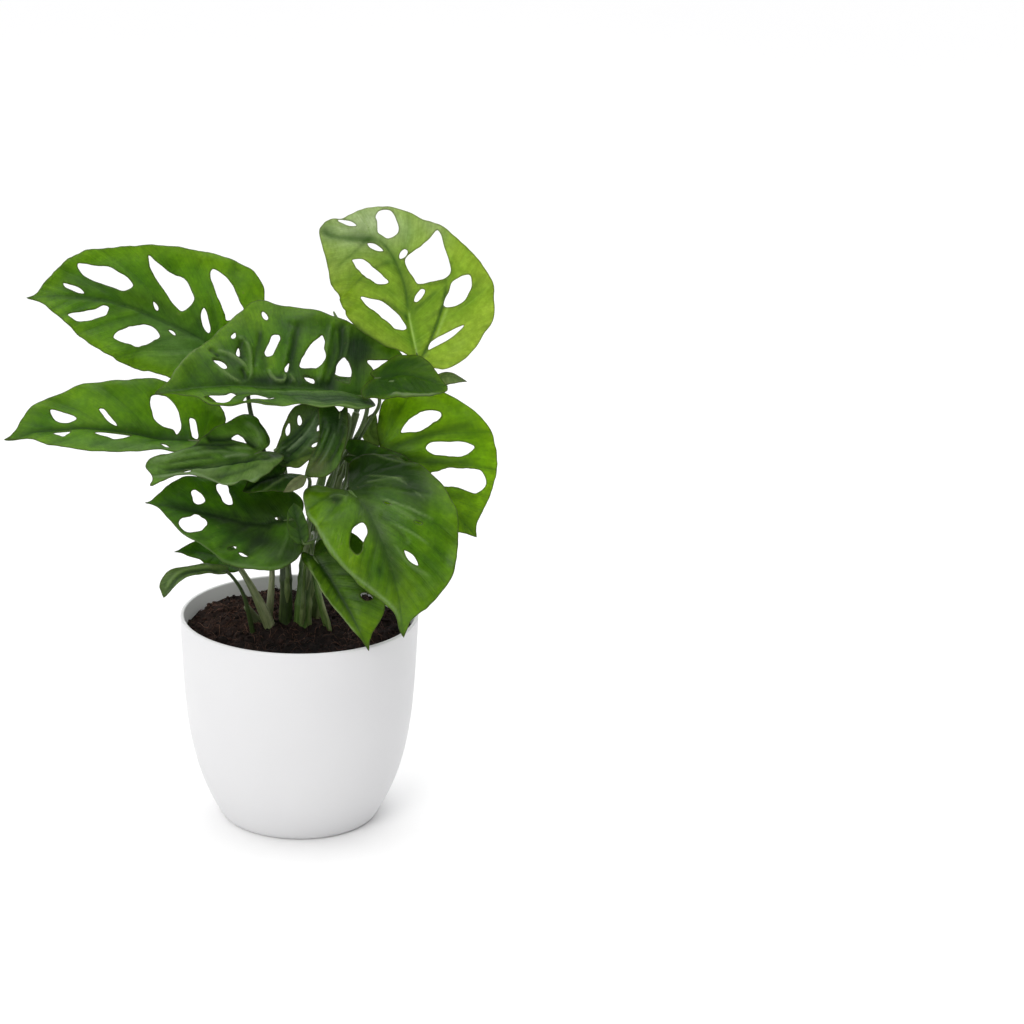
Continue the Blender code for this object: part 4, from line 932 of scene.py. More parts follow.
def leaf_material(name, look, big, seed):
    """blade tissue: patchy green, darker along sunken veins, brown at the rim, with painted light and shade patches,
    painted sheen, and painted glints and crease shade along drawn lines
    """
    m = Mat(name)
    mid, vein, phi = m.attr('d_mid'), m.attr('d_vein'), m.attr('phi')
    out, edge, under = m.attr('d_out'), m.attr('d_edge'), m.attr('under')
    where = m.place()
    vein_and_painted_light, painted_light_shade, painted_sheen = m.attr('vein_and_painted_light'), m.attr('painted_light_shade'), m.attr('painted_sheen')
    patch = m.ramp(m.noise(where, 34.0, 2.0, .5), .36, .66)
    uneven = m.ramp(m.noise(where, 55.0, 2.0, .5), .35, .65, .15, 1.0)
    mottle = m.ramp(m.noise(where, 130.0, 3.0, .6), .3, .7)
    pepper = m.ramp(m.noise(where, 330.0, 4.0, .7), .34, .66)
    blotch = m.ramp(m.noise(where, 75.0, 3.0, .6), .42, .62)
    grain = m.noise(m.xyz(m.math('MULTIPLY', phi, .62), m.math('MULTIPLY', mid, .07), float(seed % 97)), 1.6, 3.0, .6)
    streak = m.ramp(grain, .3, .7)
    line = m.math('MINIMUM', vein, m.math('MULTIPLY', mid, .75))
    c = m.mix(patch, look['dark'], look['light'])
    c = m.mix(m.math('MULTIPLY', m.ramp(line, 1.5 * big, 7.0 * big), look.get('cell', .45)), c, look['light'])
    c = m.mix(m.math('MULTIPLY', m.ramp(out, 12.0 * big, 0.0), look.get('halo', .3)), c, look['yellow'])
    c = m.mix(m.math('MULTIPLY', m.math('MULTIPLY', m.ramp(vein, 3.0 * big, .2), uneven), look.get('zone', .38)), c, look['vein'])
    c = m.mix(m.math('MULTIPLY', m.ramp(mid, 6.5 * big, .4), look.get('midzone', .5)), c, look['vein'])
    # painted sheen: the drawn patches are washed toward a sheen colour
    c = m.mix(m.ramp(painted_sheen, 0, 1, smooth=False), c, look.get('sheen_colour', (.1, .19, .07)))
    # blob patches: positive is painted light toward the yellow tone, negative is painted shade
    c = m.mix(m.ramp(painted_light_shade, 0, 1, 0, .8, smooth=False), c, look['yellow'])
    c = m.mix(m.ramp(painted_light_shade, 0, -1, 0, .92, smooth=False), c, look.get('shadow', look['vein']))
    c = m.mix(m.math('MULTIPLY', m.ramp(mid, .75 * big + .12, .25 * big), look.get('rib', .45)), c, look['ribcol'])
    c = m.mix(m.math('MULTIPLY', m.ramp(vein, .4 * big + .1, .1), look.get('fine', .25)), c, look['ribcol'])
    c = m.mix(.8, c, m.mix(streak, (.82, .84, .8), (1.12, 1.1, 1.15)), 'MULTIPLY')
    c = m.mix(.7, c, m.mix(mottle, (.88, .88, .86), (1.1, 1.09, 1.12)), 'MULTIPLY')
    c = m.mix(.75, c, m.mix(pepper, (.78, .81, .74), (1.2, 1.16, 1.26)), 'MULTIPLY')
    c = m.mix(.5, c, m.mix(blotch, (.86, .9, .8), (1.12, 1.06, 1.1)), 'MULTIPLY')
    fleck = m.ramp(m.noise(where, 260.0, 2.0, .5), .7, .78)
    c = m.mix(m.math('MULTIPLY', fleck, .22), c, (.26, .24, .08))
    # drawn lines, negative: painted shade in creases and folds
    c = m.mix(m.ramp(vein_and_painted_light, 0, -1, 0, .9, smooth=False), c, look.get('shadow', look['vein']))
    pale = m.mix(.45, c, look['under'])
    c = m.mix(m.math('MULTIPLY', under, .9), c, pale)
    rimline = m.math('MULTIPLY', m.math('MULTIPLY', m.ramp(edge, 1.0, .15), m.ramp(pepper, 0, 1, .7, 1)), look.get('rimline', .6))
    c = m.mix(rimline, c, look.get('rimcol', (.06, .06, .018)))
    # drawn lines, positive: pale veins, with painted glints, sheen streaks and rim highlights
    c = m.mix(m.ramp(vein_and_painted_light, 0, 1, 0, .95, smooth=False), c, look.get('pale', (.22, .33, .11)))
    rough = m.math('ADD', m.ramp(mottle, 0, 1, look.get('rough', .4) - .05, look.get('rough', .4) + .07), m.math('MULTIPLY', under, .14))
    relief = m.math('ADD', m.math('MULTIPLY', grain, .9), m.math('MULTIPLY', m.noise(where, 420.0, 3.0, .6), .55))
    nor = m.bump(relief, .5, .0006)
    face = m.solid(c, rough, nor, Specular_IOR_Level=look.get('gloss', .24))
    glow = m.mix(.55, m.mix(1.0, c, (2.3, 2.0, 1.2), 'MULTIPLY'), look['glow'])
    glow = m.mix(m.math('MULTIPLY', rimline, .8), glow, (.03, .025, .01))
    # painted shade of the patches and creases carried into the light passing through the blade
    glow = m.mix(m.ramp(m.math('ADD', painted_light_shade, vein_and_painted_light), 0, -1, 0, .9, smooth=False), glow, look['vein'])
    # painted sheen carried into the light passing through the blade
    glow = m.mix(m.math('MULTIPLY', painted_sheen, .6), glow, look.get('sheen_colour', (.1, .19, .07)))
    back = m.node('BsdfTranslucent', {'Color': glow, 'Normal': nor}).outputs[0]
    both = m.node('MixShader', {0: look.get('through', .42), 1: face, 2: back}).outputs[0]
    return m.finish(both)


def stalk_material(name, green, dark, pale, rough=.42):
    """living stalk: streaked lengthwise, paler where the field 'pale' is high, which holds pale feet and painted light
    on the lit side of some stalks
    """
    m = Mat(name)
    along, around, pal = m.attr('along'), m.attr('around'), m.attr('pale')
    ca = m.math('COSINE', around)
    sa = m.math('SINE', around)
    streak = m.ramp(m.noise(m.xyz(m.math('MULTIPLY', along, .05), m.math('MULTIPLY', ca, 2.2), m.math('MULTIPLY', sa, 2.2)), 1.4, 4.0, .6), .3, .7)
    spot = m.ramp(m.noise(m.place(), 420.0, 3.0, .6), .35, .7)
    c = m.mix(streak, dark, green)
    c = m.mix(m.ramp(pal, 0, 1, smooth=False), c, m.mix(streak, green, pale))
    c = m.mix(.6, c, m.mix(spot, (.86, .88, .84), (1.1, 1.08, 1.12)), 'MULTIPLY')
    nor = m.bump(m.math('ADD', streak, m.math('MULTIPLY', spot, .3)), .3, .0004)
    return m.finish(m.solid(c, m.ramp(spot, 0, 1, rough - .04, rough + .1), nor, Specular_IOR_Level=.45))


def pot_material():
    m = Mat('pot_matt')
    where = m.place()
    cloud = m.noise(where, 9.0, 2.0, .5)
    c = m.mix(m.ramp(cloud, .3, .7), (.71, .71, .722), (.735, .735, .745))
    tooth = m.noise(where, 2600.0, 2.0, .5)
    nor = m.bump(m.math('ADD', tooth, m.math('MULTIPLY', m.noise(where, 60.0, 2.0, .5), .6)), .06, .0004)
    return m.finish(m.solid(c, m.ramp(m.noise(where, 40.0, 3.0, .5), .3, .7, .4, .5), nor, Specular_IOR_Level=.4))


def soil_material(name, dark, mid, warm, rough=.95):
    m = Mat(name)
    where = m.place()
    tone = m.attr('tone')
    crumb = m.ramp(m.noise(where, 700.0, 4.0, .65), .3, .7)
    heap = m.ramp(m.noise(where, 90.0, 3.0, .6), .35, .65)
    c = m.mix(crumb, dark, mid)
    c = m.mix(m.math('MULTIPLY', heap, m.math('MULTIPLY', tone, .8)), c, warm)
    c = m.mix(m.math('MULTIPLY', tone, .9), c, m.mix(crumb, mid, warm))
    nor = m.bump(m.noise(where, 1500.0, 4.0, .7), .8, .0008)
    return m.finish(m.solid(c, rough, nor, Specular_IOR_Level=.12))


# ---------------------------------------------------------------- objects
def piece(name, verts, faces, material, fields=None, st=None, smooth=True, replaces=None, slot=None):
    mesh = bpy.data.meshes.new(name)
    mesh.from_pydata((np.asarray(verts, float) * MM).tolist(), [], [tuple(int(i) for i in f) for f in faces])
    mesh.update()
    for k, v in (fields or {}).items():
        a = mesh.attributes.new(k, 'FLOAT', 'POINT')
        a.data.foreach_set('value', np.asarray(v, np.float32))
    if st is not None:
        uv = mesh.uv_layers.new(name='st')
        loop = np.zeros(len(mesh.loops), np.int32)
        mesh.loops.foreach_get('vertex_index', loop)
        uv.data.foreach_set('uv', (np.asarray(st)[loop] / 150 + .5).astype(np.float32).ravel())
    mesh.polygons.foreach_set('use_smooth', np.full(len(mesh.polygons), smooth))
    mesh.materials.append(material)
    obj = bpy.data.objects.new(name, mesh)
    bpy.context.scene.collection.objects.link(obj)
    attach(obj, 'root')
    if replaces:
        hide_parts(replaces)
    return obj


# leaf tones, linear colour
MID = dict(dark=(.062, .17, .002), light=(.13, .29, .004), yellow=(.21, .37, .006), vein=(.024, .08, .005),
           ribcol=(.04, .1, .012), under=(.13, .22, .06), glow=(.28, .52, .005))
DEEP = dict(dark=(.022, .078, .002), light=(.058, .16, .004), yellow=(.1, .23, .005), vein=(.01, .038, .004),
            ribcol=(.04, .09, .02), under=(.1, .16, .05), glow=(.16, .38, .005))
BRIGHT = dict(dark=(.17, .34, .008), light=(.25, .45, .014), yellow=(.33, .5, .022), vein=(.07, .19, .012),
              ribcol=(.3, .48, .07), under=(.24, .34, .1), glow=(.45, .72, .02))
PALE = dict(dark=(.08, .14, .04), light=(.16, .24, .07), yellow=(.2, .27, .08), vein=(.05, .1, .03),
            ribcol=(.2, .27, .11), under=(.16, .22, .1), glow=(.3, .42, .08))
OLD = dict(dark=(.13, .12, .05), light=(.25, .22, .1), yellow=(.3, .24, .1), vein=(.1, .08, .03),
           ribcol=(.2, .16, .08), under=(.25, .22, .12), glow=(.3, .26, .1))

# true outlines of the windows and of some margins: (side, inner end, outer end,
# half widths on either side of that axis)
FINE = {
    'leaf_upper_left': dict(
        r=[(-7, 8), (-10, 20), (-9, 30), (-8, 40), (-3, 48), (8, 53), (31, 50), (51, 42), (72, 34), (92, 27), (103, 17), (113, 7), (118, 2)],
        h=[
        ('r', (-3, 8), (3, 16), (2, 2.5, 2.5, 2, 1.2), (2, 2.5, 2.5, 2, 1.2)), ('l', (-5, 9), (6, 9), (2.2, 2.8, 2.8, 2.4, 1.4), (1.8, 2.4, 2.4, 2, 1.2)),
        ('r', (63, 12), (93, 20), (2.7, 4, 5, 2.8, 1.6), (6, 7, 7, 7, 5)),
        ('r', (90, 2), (101, 8), (.9, 1.3, 1, .6, .4), (.9, 1.7, 2.1, 2.2, 1.9)),
        ('r', (33, 9), (58, 33), (9, 10, 9, 2.7, .6), (2.7, 4, 5, 5, 3)),
        ('r', (8, 17), (27, 41), (11, 10, 9, 7, 4), (.7, 1.9, 3, 3, 2.7)),
        ('r', (14, 5), (23, 17), (1.5, 1.7, 1.5, 1.2, .8), (1.8, 2.7, 2.9, 2.6, 1.5)),
        ('r', (46, 3), (50, 7), (.9, 1.2, 1.2, .9, .5), (.6, 1, 1, .8, .5)),
        ('l', (75, 5), (102, 13), (4, 5, 6, 6, 4), (1.5, .2, 0, 0, .4)),
        ('l', (39, 11), (71, 23), (3, 6, 7, 5, 2.9), (5, 7, 6, 5, 3)),
        ('l', (31, 6), (36, 5), (.3, .5, .5, .4, .2), (.7, 1.1, 1.2, 1.1, .7))]),
    'leaf_left': dict(h=[
        ('r', (73, 6), (86, 14), (.9, 1.1, 1.3, 1.5, 1.2), (3, 5, 6, 5, 3)),
        ('r', (50, 3), (60, 13), (.4, .6, .9, 1.6, 1.9), (1.1, 1.9, 2, 1.5, 1.1)),
        ('r', (15, 3), (31, 27), (5, 7, 9, 9, 7), (.2, 5, 7, 5, 3)),
        ('r', (3, 1), (8, 14), (1.2, 1.6, 2, 2.4, 2.2), (2.2, 2.2, 1.9, 1.4, .9)),
        ('l', (77, 3), (87, 4), (2.2, 3, 4, 2.8, 1.6), (.4, .4, .2, .3, .3)),
        ('l', (41, 3), (63, 5), (1.8, 4, 5, 3, 1.8), (.3, .4, .5, .4, .3)),
        ('l', (19, 11), (24, 8), (.8, 1.1, 1.2, 1, .6), (.6, .9, 1, .8, .4))]),
    'leaf_centre': dict(h=[
        ('r', (57, 42), (59, 48), (1, 1.4, 1.4, 1.2, .8), (.8, 1.2, 1.2, 1, .6)),
        ('r', (58, 19), (51, 32), (2.5, 2.4, 2.4, 2.2, 1.6), (2.6, 2.8, 2.8, 3, 2.9)),
        ('r', (40, 12), (28, 35), (7, 9, 9, 5, 3), (1.2, 1.7, 1.8, 1.4, .6)),
        ('r', (12, 6), (16, 22), (1.1, 2.2, 3, 3, 1.9), (5, 7, 6, 5, 2.6)),
        ('r', (32, 3), (38, 7), (1.2, 1.6, 1.4, 1, .6), (.8, 1.2, 1.5, 1.4, .8)),
        ('r', (48, 9), (46, 15), (.7, .8, .7, .5, .3), (1, 1.3, 1.1, .7, .4)),
        ('r', (76, 31), (74, 35), (.8, 1.2, 1.2, .9, .5), (.8, 1.1, 1, .7, .4)),
        ('r', (74, 19), (73, 26), (.9, 1.1, 1, .8, .5), (.9, 1, .8, .6, .3)),
        ('r', (81, 11), (88, 18), (1.6, 2.1, 2, 1.6, 1), (2.2, 2.6, 2.2, 1.6, .9)),
        ('l', (98, 12), (79, 12), (1, 2, .8, 1.3, 2), (2.8, 6.5, 9, 7.5, 3.4)),
        ('l', (77, 22), (56, 17), (2.8, 4.6, 4, 2.2, .9), (1.5, 2.8, 3, 2.3, 1))],
        l=[(-1, 4), (-2, 12), (0, 20), (6, 26), (20, 30), (33, 29), (43, 28), (52, 29), (64, 28), (73, 28), (82, 28), (90, 27), (95, 23), (98, 17), (103, 10), (110, 5), (117, 2)],
        r=[(-4, 6), (-5, 12), (-2, 18), (1, 23), (-6, 24), (-15, 25), (-20, 29), (-12, 35), (-2, 38), (5, 42), (16, 46), (26, 50), (36, 53), (50, 54), (60, 56),
           (70, 50), (80, 40), (92, 29), (104, 18), (114, 7)]),
    'leaf_top_right': dict(soft=30,
        l=[(2, 2), (10, 10), (15, 18), (23, 25), (32, 32), (40, 36), (56, 39), (70, 40), (85, 40), (93, 36), (100, 30), (108, 20), (114, 11), (116, 5)],
        r=[(-3, 2), (-5, 8), (-7, 14), (-6, 21), (-4, 27), (1, 34), (7, 41), (13, 47), (21, 50), (27, 52), (33, 51), (40, 47), (48, 42), (60, 35), (72, 25),
           (79, 22), (86, 19), (92, 16), (98, 12), (102, 8), (106, 4), (110, 3)],
        h=[('r', (75, 4), (89, 14), (6, 7, 7, 7, 6), (2.7, 5, 4, 3, 3)), ('r', (96, 2), (107, 3), (.7, 1.2, 1.4, 1.1, .6), (.8, 1.4, 1.3, .9, .6)),
           ('l', (72, 3), (84, 6), (1.2, 2, 2.3, 2.1, 1.6), (.5, .8, .9, .9, .7)), ('r', (61, 3), (62, 9), (.8, 1.2, 1.3, 1.1, .6), (1.5, 2.2, 2.4, 2.2, 1.7)),
           ('r', (48, 6), (58, 30), [(62, 30), (60, 30.6), (54, 29.6), (47, 28.6), (42.5, 28), (40.6, 24), (42, 15), (43, 9.4), (44.4, 7.4), (49, 6), (54, 4.8),
                                     (58.4, 5.2), (60, 8), (60.4, 12), (60.2, 17), (61, 24)]), ('l', (53, 9), (88, 19), (5, 6, 7, 6, 4), (.1, 0, 0, .7, .9)),
           ('l', (21, 3), (55, 27), (4, 4, 4, 4, 2.8), (2.1, 2.7, 2.9, 2, .8)), ('r', (35, 4), (39, 11), (1.6, 1.8, 1.8, 1.4, 1), (1, 1.8, 2, 2.1, 1.9)),
           ('r', (27, 21), (37, 39), (3, 5, 6, 5, 4), (2.4, 4, 6, 5, 3)), ('r', (6, 7), (14, 30), (.6, 1.1, 1.5, 1.4, .8), (2.7, 3, 2.1, 1.5, .9))]),
    'leaf_right': dict(
        l=[(-3, 3), (-7, 8), (-9, 13), (-11, 19), (-12, 25), (-6, 34), (3, 43), (17, 47), (30, 49), (44, 45), (57, 34), (68, 14), (72, 5)],
        h=[
        ('l', (7, 13), (17, 35), (1.8, 2.8, 3, 3, 2.1), (2.1, 4, 4, 3, 2.3)),
        ('l', (21, 13), (38, 34), (2.6, 3, 3, 3, 2), (3, 4, 5, 5, 3)),
        ('l', (32, 5), (58, 24), (1.6, 5, 6, 7, 7), (6, 6, 5, 6, 6)),
        ('r', (16, 6), (30, 20), (2, 3, 3, 2.5, 1.4), (2, 3, 3, 2.4, 1.3))]),
    'leaf_front_right': dict(h=[
        ('l', (48, 10), (58, 15), (.8, 1.5, 1.8, 1.4, .8), (.9, 1.7, 2, 1.6, .8)),
        ('r', (25, 6), (41, 16), (3, 5, 5, 5, 4), (2.8, 4, 3, 2.2, 2.1)),
        ('l', (35, 21), (38, 25), (.4, .6, .7, .6, .3), (.3, .5, .6, .5, .3)),
        ('l', (19, 10), (22, 13), (.3, .5, .5, .4, .3), (.3, .5, .5, .4, .2))]),
    'leaf_lower_left': dict(h=[
        ('r', (55, 7), (63, 12), (1.3, 2.1, 2.5, 2.5, 2.1), (4, 5, 5, 3, 1.8)),
        ('r', (38, 9), (48, 20), (1.8, 3, 4, 6, 6), (3, 4, 3, 2.5, 1.6)),
        ('l', (54, 8), (71, 12), (2.2, 5, 6, 6, 4), (5, 7, 5, 4, 3)),
        ('l', (37, 20), (42, 23), (.8, 1.2, 1.3, 1.1, .7), (.6, 1, 1.1, 1, .6)),
        ('l', (31, 25), (36, 24), (.6, .9, 1, .8, .5), (.5, .9, 1, .9, .6)),
        ('r', (9, 1), (12, 2), (.6, .9, 1, .8, .5), (.3, .5, .5, .4, .3))]),
    'leaf_curled': dict(
        l=[(-6, 5), (-6, 14), (3, 19), (13, 23), (19, 26), (23, 21), (29, 23), (33, 20), (39, 14), (47, 7), (56, 4), (65, 5), (73, 7), (70, 3)],
        r=[(-7, 4), (-8, 12), (-5, 23), (3, 26), (12, 24), (23, 22), (32, 17), (45, 11), (58, 12), (66, 11), (70, 7)],
        h=[('r', (6, 8), (13, 14), (1.4, 2.6, 3, 3.4, 2.2), (.4, .6, .7, .6, .3)),
           ('l', (46, 3), (53, 1.4), (.8, 1.3, 1.5, 1.3, .8), (.3, .5, .5, .4, .3))]),
    'leaf_centre_back': dict(
        l=[(3, 1.4), (8, 4), (13, 7), (17, 9), (22, 11), (29, 11), (36, 5)], r=[(-4, 4), (-2, 10), (4, 14), (9, 18), (15, 18), (24, 17), (29, 13), (33, 8), (38, 3)],
        h=[('l', (12, 2), (18, 6.6), (.9, 1.3, 1.3, 1, .6), (1, 1.4, 1.4, 1.1, .7)), ('l', (22, 1.6), (26, 6), (.7, 1, 1.1, 1, .7), (1, 1.4, 1.5, 1.2, .7)),
           ('r', (28, 8), (33, 6), (.7, 1, 1.1, .9, .5), (.5, .9, 1, .7, .4)), ('r', (21, 13), (25, 14), (.8, 1, 1.1, 1, .7), (.5, .7, .8, .7, .5))]),
    'leaf_hanging': dict(
        l=[(-5, 3), (2, 5), (9, 6), (20, 8), (29, 10), (36, 8), (41, 3)], r=[(-3, 5), (-1, 13), (7, 12), (20, 8), (32, 6), (40, 2)], h=[]),
    'leaf_behind_centre': dict(
        l=[(-2, 4), (6, 10), (14, 10), (20, 8), (26, 4), (32, 1.5), (38, .6)], r=[(2, .5), (12, .8), (16, 2.5), (19, 4.5), (24, 6.5), (30, 7.5), (37, 6.5), (41, 3)]),
    'leaf_right_small': dict(
        l=[(-3, 4), (2, 9), (8, 13), (15, 16), (23, 15), (32, 10), (41, 3)],
        r=[(-3, 5), (-5, 13), (-1, 21), (9, 24), (22, 24), (34, 20), (42, 13), (46, 5)]),
    'leaf_bottom_left': dict(
        l=[(2, 2), (10, 2.5), (17, 3), (26, 3.2), (35, 3), (41, 1.2), (45, .5)], r=[(-1, 3), (11, 4.5), (20, 4), (27, 4.2), (36, 7), (43, 6), (46, 2)]),
    'leaf_bottom_right': dict(
        l=[(-5, 5), (-7, 13), (-5, 21), (2, 27), (10, 29), (18, 27), (34, 22), (46, 19), (53, 10), (58, 4)],
        h=[('l', (34, 10), (39, 15), (1.2, 1.8, 2, 1.6, .9), (1.2, 2, 2.4, 2, 1.1))]),
}
